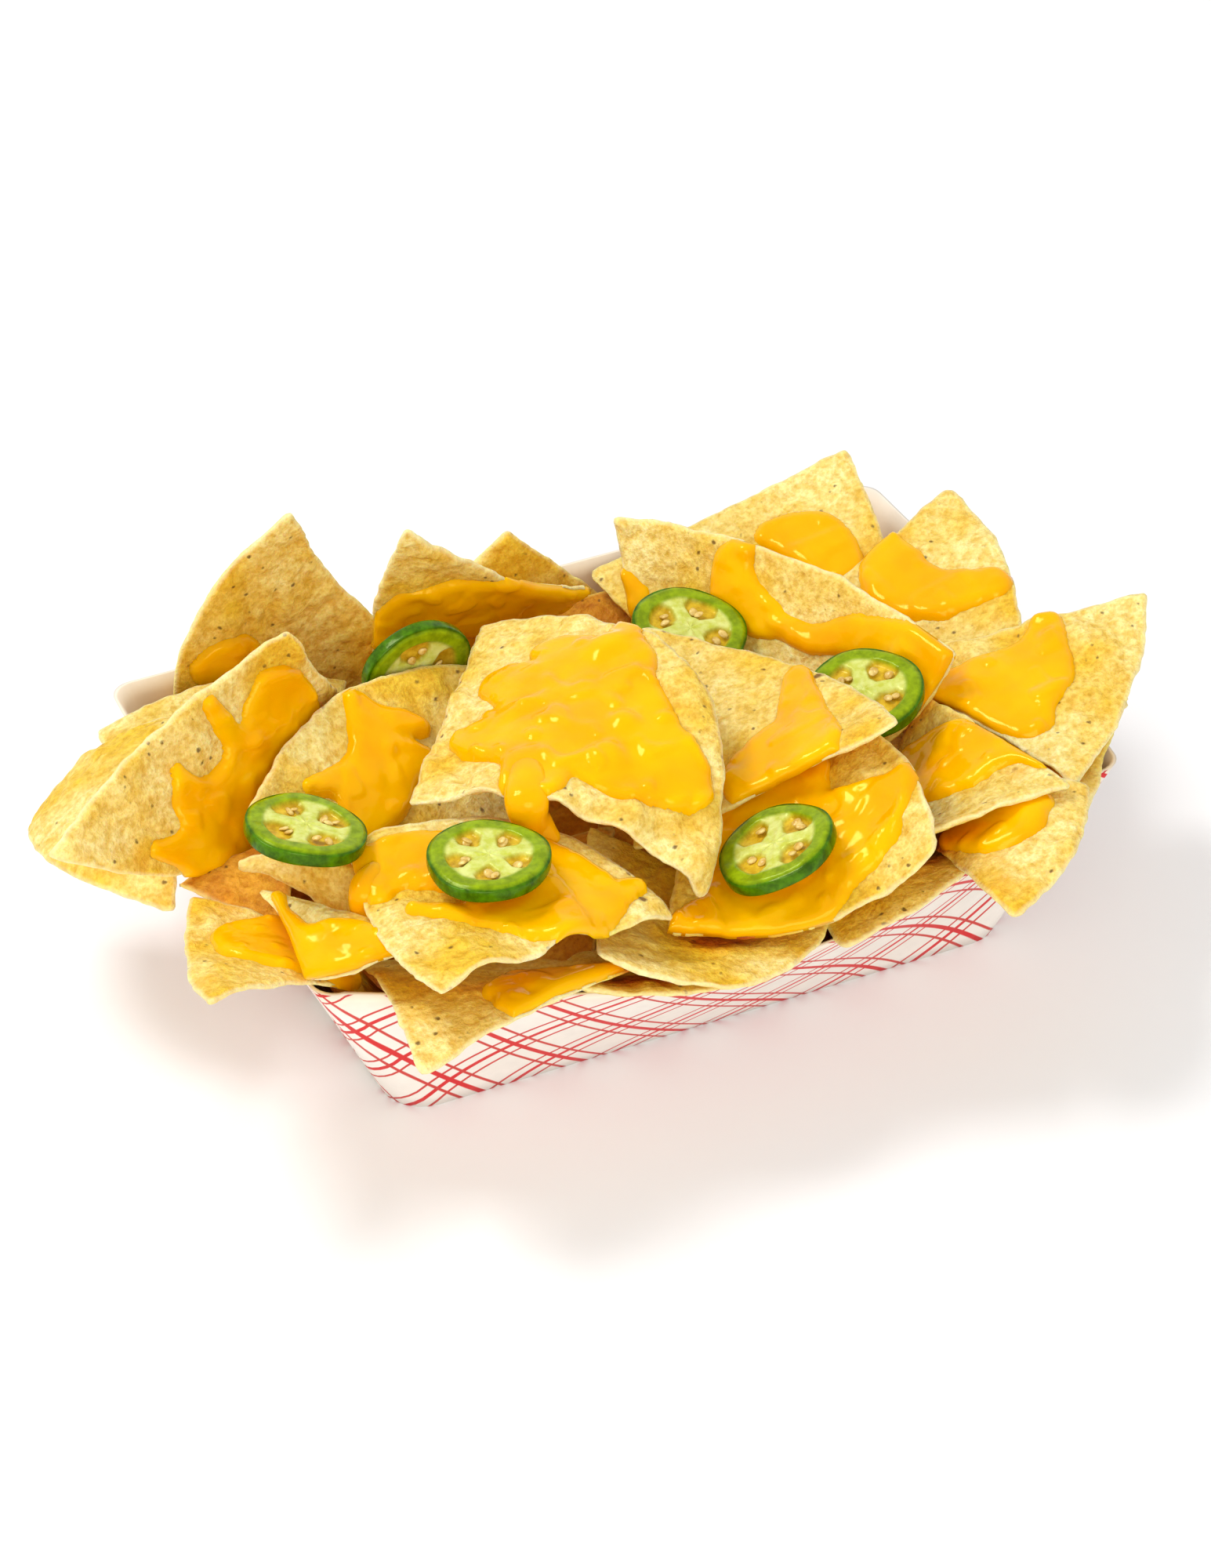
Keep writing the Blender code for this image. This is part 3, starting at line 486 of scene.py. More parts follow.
def run_reach(points, spots, widths):
    """How far inside a run each point lies, in metres; negative outside."""
    best = np.full(len(points), -1.0)
    for a, b, wide_a, wide_b in zip(spots[:-1], spots[1:], widths[:-1], widths[1:]):
        span = b - a
        t = np.clip((points - a) @ span / max(span @ span, 1e-12), 0.0, 1.0)
        away = np.linalg.norm(points - a - t[:, None] * span, axis=1)
        best = np.maximum(best, wide_a + (wide_b - wide_a) * t - away)
    return best


def puddle_solid(chip, runs, depth, cells):
    """Sauce lying on a chip: a thick round-edged sheet over everything that its runs cover."""
    u, v, faces, border = lattice(cells)
    place, normal = chip_surface(chip, u, v)
    seed = chip[3][0]
    reaches = []
    for run in runs:
        stations = smooth_run(run, 4)
        spots, _ = chip_surface(chip, stations[:, 0], stations[:, 1])
        reaches.append(run_reach(place, spots, stations[:, 2] * MM))
    soft = 1.1 * MM
    inside = soft * np.log(sum(np.exp(r / soft) for r in reaches))
    inside = inside + (0.55 * noise(place, 7.0, seed + 9.0) + 0.3 * noise(place, 3.5, seed + 8.0)) * MM
    to_edge = np.linalg.norm(place[:, None] - place[border][None], axis=2).min(1) + 0.3 * MM
    inside = -soft * 0.5 * np.log(np.exp(-2.0 * inside / soft) + np.exp(-2.0 * to_edge / soft))
    shoulder = 1.0 - np.clip(inside / (2.6 * MM), 0.0, 1.0)
    swell = 1.0 + 0.22 * noise(place, 12.0, seed + 5.0) + 0.1 * noise(place, 5.0, seed + 6.0)
    height = depth * MM * np.sqrt(1.0 - shoulder ** 2) * swell + 0.03 * np.clip(inside, 0.0, None)
    height = np.where(inside > 0.0, height, np.maximum(1.2 * inside, -0.6 * MM))
    kept = faces[(inside[faces] > -0.6 * MM).all(1)]
    used = np.unique(kept)
    number = np.full(len(place), -1)
    number[used] = np.arange(len(used))
    kept = number[kept]
    count = len(used)
    upper = place[used] + normal[used] * (0.55 * MM + height[used])[:, None]
    lower = place[used] - normal[used] * 0.2 * MM
    edges = np.concatenate([kept[:, (0, 1)], kept[:, (1, 2)], kept[:, (2, 0)]])
    there = {tuple(edge) for edge in edges.tolist()}
    rim = [(a, a + count, b + count, b) for a, b in there if (b, a) not in there]
    all_faces = kept.tolist() + (kept[:, ::-1] + count).tolist() + sorted(rim)
    points = np.concatenate([upper, lower])
    return points, all_faces, np.concatenate([normal[used], -normal[used]])


def strand_solid(run, around=24, flatness=0.6):
    """A drip of sauce: a flattened tube through places in mm with half widths, domed at both ends."""
    stations = smooth_run(run, 6)
    spots, wide = stations[:, :3] * MM, stations[:, 3] * MM
    along = unit(np.gradient(spots, axis=0))
    domes = np.radians((80.0, 55.0, 30.0))
    head = [(spots[0] - along[0] * wide[0] * math.sin(a), wide[0] * math.cos(a), along[0]) for a in domes]
    body = [(s, w, a) for s, w, a in zip(spots, wide, along)]
    tail = [(spots[-1] + along[-1] * wide[-1] * math.sin(a), wide[-1] * math.cos(a),
             along[-1]) for a in domes[::-1]]
    turn = 2.0 * math.pi * np.arange(around) / around
    rings = []
    for spot, width, ahead in head + body + tail:
        side = unit(np.cross(ahead, (-0.34, -0.70, 0.62)))
        rise = np.cross(side, ahead) * flatness
        rings.append(spot + width * (np.cos(turn)[:, None] * side + np.sin(turn)[:, None] * rise))
    faces = []
    for k in range(len(rings) - 1):
        for i in range(around):
            j = (i + 1) % around
            faces.append((k * around + i, k * around + j, (k + 1) * around + j, (k + 1) * around + i))
    faces.append(tuple(reversed(range(around))))
    last = (len(rings) - 1) * around
    faces.append(tuple(range(last, last + around)))
    flipped = [tuple(reversed(face)) for face in faces]
    return np.concatenate(rings), flipped


# ---------------------------------------------------------------- jalapeno slices

def slice_face(angle, out, arms, twist):
    """Height in mm of the cut face, and how far each place is pith or seed well."""
    nearest = (angle * arms / (2.0 * math.pi) + twist) % 1.0
    nearest = np.minimum(nearest, 1.0 - nearest) * 2.0 * math.pi / arms
    aside = np.abs(np.sin(nearest)) * out
    width = 0.19 - 0.1 * out + 0.16 * ease(out, 0.5, 0.74)
    pith = np.maximum(ease(width - aside, -0.035, 0.05), 1.0 - ease(out, 0.24, 0.36))
    inner = 1.0 - ease(out, 0.66, 0.74)
    well = inner * (1.0 - pith)
    height = -1.0 * well - 0.2 * inner + 0.1 * np.cos(7.0 * angle + 3.0 * out)
    height = height - 0.6 * ease(out, 0.86, 0.975) ** 3
    return height, pith * inner, well


def slice_solid(spot, turn, arms, twist):
    """A jalapeno ring with its seed wells on both cut faces."""
    around, half = 96, SLICE_HALF
    angle = 2.0 * math.pi * np.arange(around) / around
    wobble = 1.0 + 0.022 * np.cos(3.0 * angle + twist * 6.0) + 0.012 * np.cos(5.0 * angle + twist)
    cut = list(np.linspace(0.03, 0.975, 34))
    side = ((0.995, 0.68), (1.0, 0.5), (1.004, 0.2), (1.004, -0.2), (1.0, -0.5), (0.995, -0.68))
    points, skin, pith, well = [], [], [], []

    def add_ring(out, height, values):
        reach = SLICE_RADIUS * out * wobble
        points.append(np.stack([reach * np.cos(angle), reach * np.sin(angle), height], 1))
        skin.append(np.full(around, float(ease(out, 0.935, 0.965))))
        pith.append(values[0])
        well.append(values[1])

    for out in cut:
        height, a, b = slice_face(angle, np.full(around, out), arms, twist)
        add_ring(out, half + height, (a, b))
    for out, share in side:
        add_ring(out, np.full(around, half * share), (np.zeros(around), np.zeros(around)))
    for out in cut[::-1]:
        height, a, b = slice_face(angle, np.full(around, out), arms, twist)
        add_ring(out, -half - height, (a, b))
    rings = len(points)
    faces = []
    for k in range(rings - 1):
        for i in range(around):
            j = (i + 1) % around
            faces.append((k * around + i, (k + 1) * around + i, (k + 1) * around + j, k * around + j))
    faces.append(tuple(range(around)))
    faces.append(tuple(reversed(range((rings - 1) * around, rings * around))))
    spin = np.array(Euler([math.radians(a) for a in turn]).to_matrix())
    placed = (np.concatenate(points) @ spin.T + np.array(spot)) * MM
    values = {"skin": np.concatenate(skin), "pith": np.concatenate(pith), "well": np.concatenate(well)}
    return placed, faces, values


def seed_places(spot, turn, arms, twist, count, rng):
    """Where the seeds sit in a slice's wells, and how each is turned."""
    spin = Euler([math.radians(a) for a in turn]).to_matrix()
    places = []
    for k in range(count):
        middle = (k % arms + 0.5 - twist + rng.uniform(-0.2, 0.2)) * 2.0 * math.pi / arms
        out = rng.uniform(4.6, 7.2)
        spot_in = Vector((out * math.cos(middle), out * math.sin(middle), rng.uniform(1.1, 1.7)))
        lean = Euler((rng.uniform(-0.5, 0.5), rng.uniform(-0.5, 0.5), middle + rng.uniform(-0.9, 0.9)))
        turned = (spin @ lean.to_matrix()).to_euler()
        places.append(((spin @ spot_in + Vector(spot)) * MM, turned, rng.uniform(0.8, 1.15)))
    return places


# ---------------------------------------------------------------- copies laid by Geometry Nodes

def add(tree, kind, sockets=None, stops=(), **settings):
    """A node with its settings and colour stops, and its sockets set to a value or linked to an output."""
    made = tree.nodes.new(kind)
    for key, value in settings.items():
        setattr(made, key, value)
    for k, (position, colour) in enumerate(stops):
        band = made.color_ramp.elements
        stop = band[k] if k < len(band) else band.new(position)
        stop.position = position
        stop.color = linear(colour) if isinstance(colour, str) else tuple(colour)
    for key, value in (sockets or {}).items():
        if isinstance(value, bpy.types.NodeSocket):
            tree.links.new(value, made.inputs[key])
        else:
            made.inputs[key].default_value = value
    return made


def copies_tree(material):
    """Lays a copy of one object at every point, turned by the point's own attribute and sized at random about a
    given size.
    """
    tree = bpy.data.node_groups.new("lay_copies", "GeometryNodeTree")
    face = tree.interface
    face.new_socket("Points", in_out="INPUT", socket_type="NodeSocketGeometry")
    face.new_socket("Copied piece", in_out="INPUT", socket_type="NodeSocketObject")
    face.new_socket("Size", in_out="INPUT", socket_type="NodeSocketFloat")
    face.new_socket("Size spread", in_out="INPUT", socket_type="NodeSocketFloat")
    face.new_socket("Seed", in_out="INPUT", socket_type="NodeSocketInt")
    face.new_socket("Geometry", in_out="OUTPUT", socket_type="NodeSocketGeometry")
    start = add(tree, "NodeGroupInput")
    piece = add(tree, "GeometryNodeObjectInfo", {"Object": start.outputs["Copied piece"]})
    turn = add(tree, "GeometryNodeInputNamedAttribute", {"Name": "turn"}, data_type="FLOAT_VECTOR")
    low = add(tree, "ShaderNodeMath", {0: 1.0, 1: start.outputs["Size spread"]}, operation="SUBTRACT")
    high = add(tree, "ShaderNodeMath", {0: 1.0, 1: start.outputs["Size spread"]}, operation="ADD")
    spread = add(tree, "FunctionNodeRandomValue", {2: low.outputs[0], 3: high.outputs[0],
                                                  "Seed": start.outputs["Seed"]}, data_type="FLOAT")
    size = add(tree, "ShaderNodeMath", {0: start.outputs["Size"], 1: spread.outputs[1]}, operation="MULTIPLY")
    spots = add(tree, "GeometryNodeMeshToPoints", {"Mesh": start.outputs["Points"]})
    laid = add(tree, "GeometryNodeInstanceOnPoints", {
        "Points": spots.outputs[0], "Instance": piece.outputs["Geometry"],
        "Rotation": turn.outputs[0], "Scale": size.outputs[0]})
    real = add(tree, "GeometryNodeRealizeInstances", {0: laid.outputs[0]})
    painted = add(tree, "GeometryNodeSetMaterial", {"Geometry": real.outputs[0], "Material": material})
    add(tree, "NodeGroupOutput", {0: painted.outputs[0]})
    return tree


def lay_copies(name, places, original, size, spread, seed, material):
    """A plain mesh of one original copied to each (place, turn), and the helpers cleared away."""
    mesh = bpy.data.meshes.new(name + "_points")
    mesh.from_pydata([tuple(place) for place, _ in places], [], [])
    turns = mesh.attributes.new("turn", "FLOAT_VECTOR", "POINT")
    turns.data.foreach_set("vector", np.array([tuple(turn) for _, turn in places], np.float32).ravel())
    carrier = new_object(name + "_points", mesh)
    laying = carrier.modifiers.new("lay", "NODES")
    laying.node_group = copies_tree(material)
    wanted = {"Copied piece": original, "Size": size, "Size spread": spread, "Seed": seed}
    for item in laying.node_group.interface.items_tree:
        if item.in_out == "INPUT" and item.name in wanted:
            laying[item.identifier] = wanted[item.name]
    graph = bpy.context.evaluated_depsgraph_get()
    graph.update()
    made = bpy.data.meshes.new_from_object(carrier.evaluated_get(graph), depsgraph=graph)
    made.name = name
    for used in (carrier, original):
        bpy.data.objects.remove(used, do_unlink=True)
    return made


# ---------------------------------------------------------------- materials

def new_material(name, looks):
    """A node material with only a Principled shader, its sockets set, joined to the output."""
    material = bpy.data.materials.new(name)
    material.use_nodes = True
    tree = material.node_tree
    tree.nodes.clear()
    shader = add(tree, "ShaderNodeBsdfPrincipled", looks)
    add(tree, "ShaderNodeOutputMaterial", {"Surface": shader.outputs["BSDF"]})
    return material, tree, shader


def tint_by_shade(tree, tone, stops):
    """Painted shade: the tone multiplied by a ramp of the shade attribute, for light that reaches a place only
    from its neighbours.
    """
    shade = add(tree, "ShaderNodeAttribute", attribute_name="shade")
    depth = add(tree, "ShaderNodeValToRGB", {"Fac": shade.outputs["Fac"]}, stops=stops)
    return add(tree, "ShaderNodeMix", {"Factor": 1.0, 6: tone, 7: depth.outputs[0]}, data_type="RGBA",
               blend_type="MULTIPLY").outputs[2]


def fried_corn(name, pale, gold, toast):
    """Nixtamalised maize dough, rolled thin and deep fried: dry and matt with fine grains, pale where it
    blistered and with toasted flecks; painted shade makes it gold to red where only its neighbours light it."""
    material, tree, shader = new_material(name, {
        "Roughness": 0.62, "Specular IOR Level": 0.25, "IOR": 1.45, "Subsurface Weight": 0.4,
        "Subsurface Radius": (1.0, 0.6, 0.08), "Subsurface Scale": 0.0025})
    place = add(tree, "ShaderNodeTexCoord").outputs["Object"]
    broad, mottle, pimples, grain = (
        add(tree, "ShaderNodeTexNoise", {"Vector": place, "Scale": 1 / size, "Detail": detail,
                                         "Roughness": rough})
        for size, detail, rough in ((0.020, 3.0, 0.5), (0.0045, 4.0, 0.6), (0.0023, 3.0, 0.6),
                                    (0.0011, 2.0, 0.6)))
    ground = add(tree, "ShaderNodeValToRGB", {"Fac": broad.outputs[0]}, stops=((0.37, gold), (0.60, pale)))
    patches = add(tree, "ShaderNodeMapRange", {"Value": mottle.outputs[0], "From Min": 0.46, "From Max": 0.72,
                                               "To Max": 0.5})
    warmed = add(tree, "ShaderNodeMix", {"Factor": patches.outputs[0], 6: ground.outputs[0], 7: tuple(toast)},
                 data_type="RGBA")
    tone = warmed.outputs[2]
    # Darker in the dips of the same lumps that make the bump.
    for lumps, pit in ((pimples, "#EAD68C"), (grain, "#E6D8A8")):
        grit = add(tree, "ShaderNodeValToRGB", {"Fac": lumps.outputs[0]},
                   stops=((0.34, pit), (0.58, "#FFFFFF")))
        tone = add(tree, "ShaderNodeMix", {"Factor": 0.75, 6: tone, 7: grit.outputs[0]}, data_type="RGBA",
                   blend_type="MULTIPLY").outputs[2]
    torn = add(tree, "ShaderNodeVectorMath", {0: pimples.outputs["Color"], 1: (0.0016, 0.0016, 0.0016),
                                              2: place},
               operation="MULTIPLY_ADD")
    # Flecks of hull, burnt spots and golden ones. Only some of the cells of each size have one.
    for cell, rarity, low, high, fleck, strength in ((0.0036, 0.45, 0.07, 0.17, "#5A3410", 0.8),
                                                     (0.0125, 0.62, 0.05, 0.10, "#5C2A0C", 0.85),
                                                     (0.0160, 0.50, 0.10, 0.24, "#E6AC30", 0.5)):
        cells = add(tree, "ShaderNodeTexVoronoi",
                    {"Vector": torn.outputs[0], "Scale": 1 / cell, "Randomness": 1.0})
        pick = add(tree, "ShaderNodeSeparateColor", {"Color": cells.outputs["Color"]})
        chosen = add(tree, "ShaderNodeMath", {0: pick.outputs[0], 1: rarity}, operation="GREATER_THAN")
        spot = add(tree, "ShaderNodeMapRange",
                   {"Value": cells.outputs["Distance"], "From Min": low, "From Max": high,
                                                "To Min": strength, "To Max": 0.0})
        amount = add(tree, "ShaderNodeMath", {0: spot.outputs[0], 1: chosen.outputs[0]}, operation="MULTIPLY")
        tone = add(tree, "ShaderNodeMix", {"Factor": amount.outputs[0], 6: tone, 7: linear(fleck)},
                   data_type="RGBA").outputs[2]
    rim = add(tree, "ShaderNodeAttribute", attribute_name="edge")
    crumb = add(tree, "ShaderNodeMapRange", {"Value": rim.outputs["Fac"], "From Max": 0.09, "To Min": 0.5,
                                             "To Max": 0.0})
    tone = add(tree, "ShaderNodeMix", {"Factor": crumb.outputs[0], 6: tone, 7: linear("#FFEFC0")},
               data_type="RGBA").outputs[2]
    # Painted shade: gold, then red-brown, multiplied in where the shade attribute says neighbours hide the
    # place.
    tinted = tint_by_shade(tree, tone, ((0.45, "#FFFFFF"), (0.78, "#FFF6B0"), (0.90, "#FFDC70"),
                                        (0.96, "#DC8028"), (1.0, "#7C2008")))
    tree.links.new(tinted, shader.inputs["Base Color"])
    rough = add(tree, "ShaderNodeBump", {"Strength": 0.8, "Distance": 0.0012, "Height": pimples.outputs[0]})
    fine = add(tree, "ShaderNodeBump", {"Strength": 0.5, "Distance": 0.0003, "Height": grain.outputs[0],
                                        "Normal": rough.outputs[0]})
    tree.links.new(fine.outputs[0], shader.inputs["Normal"])
    return material


def nacho_cheese(colour):
    """Warm processed cheese sauce: smooth, wet and shiny, and light goes a few millimetres into it."""
    material, tree, shader = new_material("nacho_cheese_sauce", {
        "Roughness": 0.12, "Specular IOR Level": 0.55, "Specular Tint": linear("#FFE478"), "IOR": 1.42,
        "Subsurface Weight": 0.35, "Subsurface Radius": (1.0, 0.55, 0.1), "Subsurface Scale": 0.003})
    place = add(tree, "ShaderNodeTexCoord").outputs["Object"]
    flow = add(tree, "ShaderNodeTexNoise", {"Vector": place, "Scale": 1 / 0.012, "Detail": 2.0,
                                            "Roughness": 0.5})
    body = add(tree, "ShaderNodeValToRGB", {"Fac": flow.outputs[0]},
               stops=((0.35, "#FAAC00"), (0.65, colour)))
    # Painted shade: a little more orange where neighbours hide the sauce.
    tinted = tint_by_shade(tree, body.outputs[0], ((0.75, "#FFFFFF"), (1.0, "#FFD890")))
    tree.links.new(tinted, shader.inputs["Base Color"])
    ripple = add(tree, "ShaderNodeTexNoise", {"Vector": place, "Scale": 1 / 0.005, "Detail": 2.0,
                                              "Roughness": 0.4})
    bump = add(tree, "ShaderNodeBump", {"Strength": 0.4, "Distance": 0.0009, "Height": ripple.outputs[0]})
    tree.links.new(bump.outputs[0], shader.inputs["Normal"])
    return material


def pickled_pepper(skin, flesh, pith):
    """Pickled green chilli, sliced: waxy dark skin, wet olive flesh, pale ribs and amber juice in the wells."""
    material, tree, shader = new_material("pickled_jalapeno", {
        "Roughness": 0.2, "Specular IOR Level": 0.4, "Specular Tint": linear("#F0FFB0"), "IOR": 1.4,
        "Subsurface Weight": 0.2, "Subsurface Radius": (0.6, 1.0, 0.15), "Subsurface Scale": 0.0015})
    place = add(tree, "ShaderNodeTexCoord").outputs["Object"]
    mottle = add(tree, "ShaderNodeTexNoise", {"Vector": place, "Scale": 1 / 0.0022, "Detail": 3.0,
                                              "Roughness": 0.6})
    meat, rib, juice, peel = (
        add(tree, "ShaderNodeValToRGB", {"Fac": mottle.outputs[0]},
            stops=((0.35, dark), (0.66, light))).outputs[0]
        for dark, light in (("#748A04", flesh), ("#C4C84C", pith), ("#B88C10", "#E4C030"), ("#2C5000", skin)))
    tone = meat
    for name, other in (("pith", rib), ("well", juice), ("skin", peel)):
        share = add(tree, "ShaderNodeAttribute", attribute_name=name).outputs["Fac"]
        tone = add(tree, "ShaderNodeMix", {"Factor": share, 6: tone, 7: other}, data_type="RGBA").outputs[2]
    tree.links.new(tone, shader.inputs["Base Color"])
    bump = add(tree, "ShaderNodeBump", {"Strength": 0.3, "Distance": 0.0004, "Height": mottle.outputs[0]})
    tree.links.new(bump.outputs[0], shader.inputs["Normal"])
    return material


def pepper_seed():
    """A pickled pepper seed: a flat cream disc, wet, mottled with browner patches."""
    material, tree, shader = new_material("pepper_seed", {"Roughness": 0.3})
    place = add(tree, "ShaderNodeTexCoord").outputs["Object"]
    tone = add(tree, "ShaderNodeTexNoise", {"Vector": place, "Scale": 1 / 0.0014, "Detail": 2.0})
    skin = add(tree, "ShaderNodeValToRGB", {"Fac": tone.outputs[0]},
               stops=((0.35, "#C89C38"), (0.65, "#F0D480")))
    tree.links.new(skin.outputs[0], shader.inputs["Base Color"])
    return material


def bleached_board(name, ground, checks=None):
    """Coated paperboard, matt and faintly fibrous, with a printed check where the sheet carries one, and
    painted shade where its neighbours hide it.
    """
    material, tree, shader = new_material(name, {"Roughness": 0.55, "IOR": 1.48})
    place = add(tree, "ShaderNodeTexCoord").outputs["Object"]
    fibre = add(tree, "ShaderNodeTexNoise", {"Vector": place, "Scale": 1 / 0.004, "Detail": 4.0,
                                             "Roughness": 0.6})
    paler = tuple(min(1.0, c * 1.06) for c in ground[:3]) + (1.0,)
    tone = add(tree, "ShaderNodeValToRGB", {"Fac": fibre.outputs[0]},
               stops=((0.3, ground), (0.7, paler))).outputs[0]
    # Painted shade: cream to red-brown on the board, inside and out, where chips and walls hide it.
    tone = tint_by_shade(tree, tone, ((0.25, "#FFFFFF"), (0.65, "#FFE8C0"), (0.90, "#D08038"),
                                      (1.0, "#7C2008")))
    if checks:
        wide, narrow, pitch, gap, thick, thin = checks
        sheet = add(tree, "ShaderNodeUVMap", uv_map="sheet")
        axes = add(tree, "ShaderNodeSeparateXYZ", {0: sheet.outputs["UV"]})
        for kind, start in (("ADD", 1.0), ("SUBTRACT", 3.8)):
            across = add(tree, "ShaderNodeMath", {0: axes.outputs["X"], 1: axes.outputs["Y"]}, operation=kind)
            moved = add(tree, "ShaderNodeMath", {0: across.outputs[0], 1: start}, operation="ADD")
            for offset, width, ink in ((0.0, thick, wide), (gap, thin, narrow), (-gap, thin, narrow)):
                placed = add(tree, "ShaderNodeMath", {0: moved.outputs[0], 1: offset}, operation="ADD")
                away = add(tree, "ShaderNodeMath", {0: placed.outputs[0], 1: pitch}, operation="PINGPONG")
                line = add(tree, "ShaderNodeMapRange", {"Value": away.outputs[0], "From Min": 0.5 * width,
                                                        "From Max": 0.5 * width + 0.3, "To Min": 1.0,
                                                        "To Max": 0.0})
                tone = add(tree, "ShaderNodeMix", {"Factor": line.outputs[0], 6: tone, 7: tuple(ink)},
                           data_type="RGBA").outputs[2]
    tree.links.new(tone, shader.inputs["Base Color"])
    bump = add(tree, "ShaderNodeBump", {"Strength": 0.15, "Distance": 0.0002, "Height": fibre.outputs[0]})
    tree.links.new(bump.outputs[0], shader.inputs["Normal"])
    return material


# ---------------------------------------------------------------- tray

def front_flare(across):
    return FRONT_FLARE + FRONT_BULGE * (1.0 - abs(across) ** FRONT_FULLNESS)


def front_height(across):
    height = math.sqrt(WALL_SLANT ** 2 - front_flare(across) ** 2)
    corner = math.sqrt(WALL_SLANT ** 2 - FRONT_FLARE ** 2)
    return height + (RIM_HEIGHT - corner) * across ** 4


def tray_ring(rise, inset):
    """One loop round the tray from the front's left end, and the wall each point belongs to."""
    half_x = 0.5 * BASE_LENGTH + END_FLARE * rise - inset
    half_y = 0.5 * BASE_WIDTH - inset
    front, back = half_y + FRONT_FLARE * rise, half_y + BACK_FLARE * rise
    corner = BASE_CORNER + (RIM_CORNER - BASE_CORNER) * rise
    height = RIM_HEIGHT * rise
    ring, walls = [], []

    def bend(sx, sy, half_y_there):
        for step in range(1, CORNER_STEPS + 1):
            angle = 0.5 * math.pi * step / (CORNER_STEPS + 1)
            near, far = corner * (1.0 - math.sin(angle)), corner * (1.0 - math.cos(angle))
            dx, dy = (near, far) if sx * sy < 0.0 else (far, near)
            ring.append((sx * (half_x - dx), sy * (half_y_there - dy), height))
            walls.append("front" if sy < 0.0 else "back")

    for i in range(FRONT_STEPS + 1):
        across = -1.0 + 2.0 * i / FRONT_STEPS
        flare = half_y + front_flare(across) * rise
        ring.append((across * (half_x - corner), -flare, front_height(across) * rise))
        walls.append("front")
    bend(1.0, -1.0, front)
    for side in (1.0, -1.0):
        for i in range(END_STEPS + 1):
            across = -1.0 + 2.0 * i / END_STEPS
            bulge = END_BULGE * rise * (1.0 - across ** 2)
            ring.append((side * (half_x + bulge), side * across * (back - corner), height))
            walls.append("right" if side > 0.0 else "left")
        if side > 0.0:
            bend(1.0, 1.0, back)
            for i in range(BACK_STEPS + 1):
                ring.append(((1.0 - 2.0 * i / BACK_STEPS) * (half_x - corner), back, height))
                walls.append("back")
            bend(-1.0, 1.0, back)
    bend(-1.0, -1.0, front)
    return np.array(ring), walls


def sheet_places(ring, walls, rise):
    """Each ring point's place on the flat sheet, once for every wall that it borders."""
    along = np.concatenate([[0.0], np.cumsum(np.linalg.norm(np.diff(ring[:, :2], axis=0), axis=1))])
    up = WALL_SLANT * rise
    end_up = math.hypot(RIM_HEIGHT, END_FLARE) * rise
    total = along[-1] + np.linalg.norm(ring[0, :2] - ring[-1, :2])
    middle_front = along[FRONT_STEPS // 2]
    middle_back = along[FRONT_STEPS + 1 + END_STEPS + 1 + 2 * CORNER_STEPS + BACK_STEPS // 2]

    def place(i, wall):
        x, y = ring[i, 0], ring[i, 1]
        if wall == "front":
            run = along[i] - middle_front
            run = run - total if run > total / 2.0 else run
            return (run, -(BASE_WIDTH / 2.0 + up))
        if wall == "back":
            return (middle_back - along[i], BASE_WIDTH / 2.0 + up)
        if wall == "right":
            return (BASE_LENGTH / 2.0 + end_up, y)
        return (-(BASE_LENGTH / 2.0 + end_up), y)

    return place


def make_tray(settings):
    """The folded tray: outer and inner faces as rings from the base to the rim, and the flat sheet's layout."""
    levels = np.linspace(0.0, 1.0, 13)
    rings, finders = [], []
    for rise in levels:
        ring, walls = tray_ring(rise, 0.0)
        rings.append(ring)
        finders.append(sheet_places(ring, walls, rise))
    count = len(rings[0])
    inner = [tray_ring(rise, settings.board)[0] for rise in levels[::-1]]
    inner[-1][:, 2] = settings.board
    points = np.concatenate(rings + inner)
    soft = 0.22 * noise(points * MM, 31.0, 3.0) + 0.08 * noise(points * MM, 9.0, 4.0)
    middle = points * np.array((1.0, 1.0, 0.0))
    lift = np.clip(points[:, 2] / RIM_HEIGHT, 0.0, 1.0)
    points = points + unit(middle + 1e-9) * (soft * lift)[:, None]
    faces, places, numbers = [], [], []
    faces.append(tuple(reversed(range(count))))
    places.append([tuple(points[i, :2]) for i in reversed(range(count))])
    numbers.append(0)
    loops = len(rings) + len(inner)
    for k in range(loops - 1):
        outer = k < len(rings) - 1
        for i in range(count):
            j = (i + 1) % count
            faces.append((k * count + i, k * count + j, (k + 1) * count + j, (k + 1) * count + i))
            wall = walls[i] if walls[i] in ("front", "back") or walls[j] == walls[i] else walls[j]
            numbers.append(0 if outer else 1)
            if outer:
                lower, upper = finders[k], finders[k + 1]
                places.append([lower(i, wall), lower(j, wall), upper(j, wall), upper(i, wall)])
            else:
                places.append([(0.0, 0.0)] * 4)
    faces.append(tuple(range((loops - 1) * count, loops * count)))
    places.append([(0.0, 0.0)] * count)
    numbers.append(1)
    outside = bleached_board("printed_board", settings.ground, (settings.wide_line, settings.thin_line,
                             settings.pitch / 2.0, settings.spacing, 1.5, 0.75))
    inside = bleached_board("plain_board", linear("#F4EEE4"))
    tray = make_object("tray", points * MM, faces, [outside, inside], numbers=numbers)
    layer = tray.data.uv_layers.new(name="sheet")
    layer.data.foreach_set("uv", np.array([spot for face in places for spot in face], np.float32).ravel())
    for polygon in (tray.data.polygons[0], tray.data.polygons[len(tray.data.polygons) - 1]):
        polygon.use_smooth = False
    tray.data.update()
    # Painted shade for the board, from what stands round it.
    shade_piece(tray, solid_tree())
    finish_piece(tray, "tray_board", "paper_tray")


# ---------------------------------------------------------------- settings

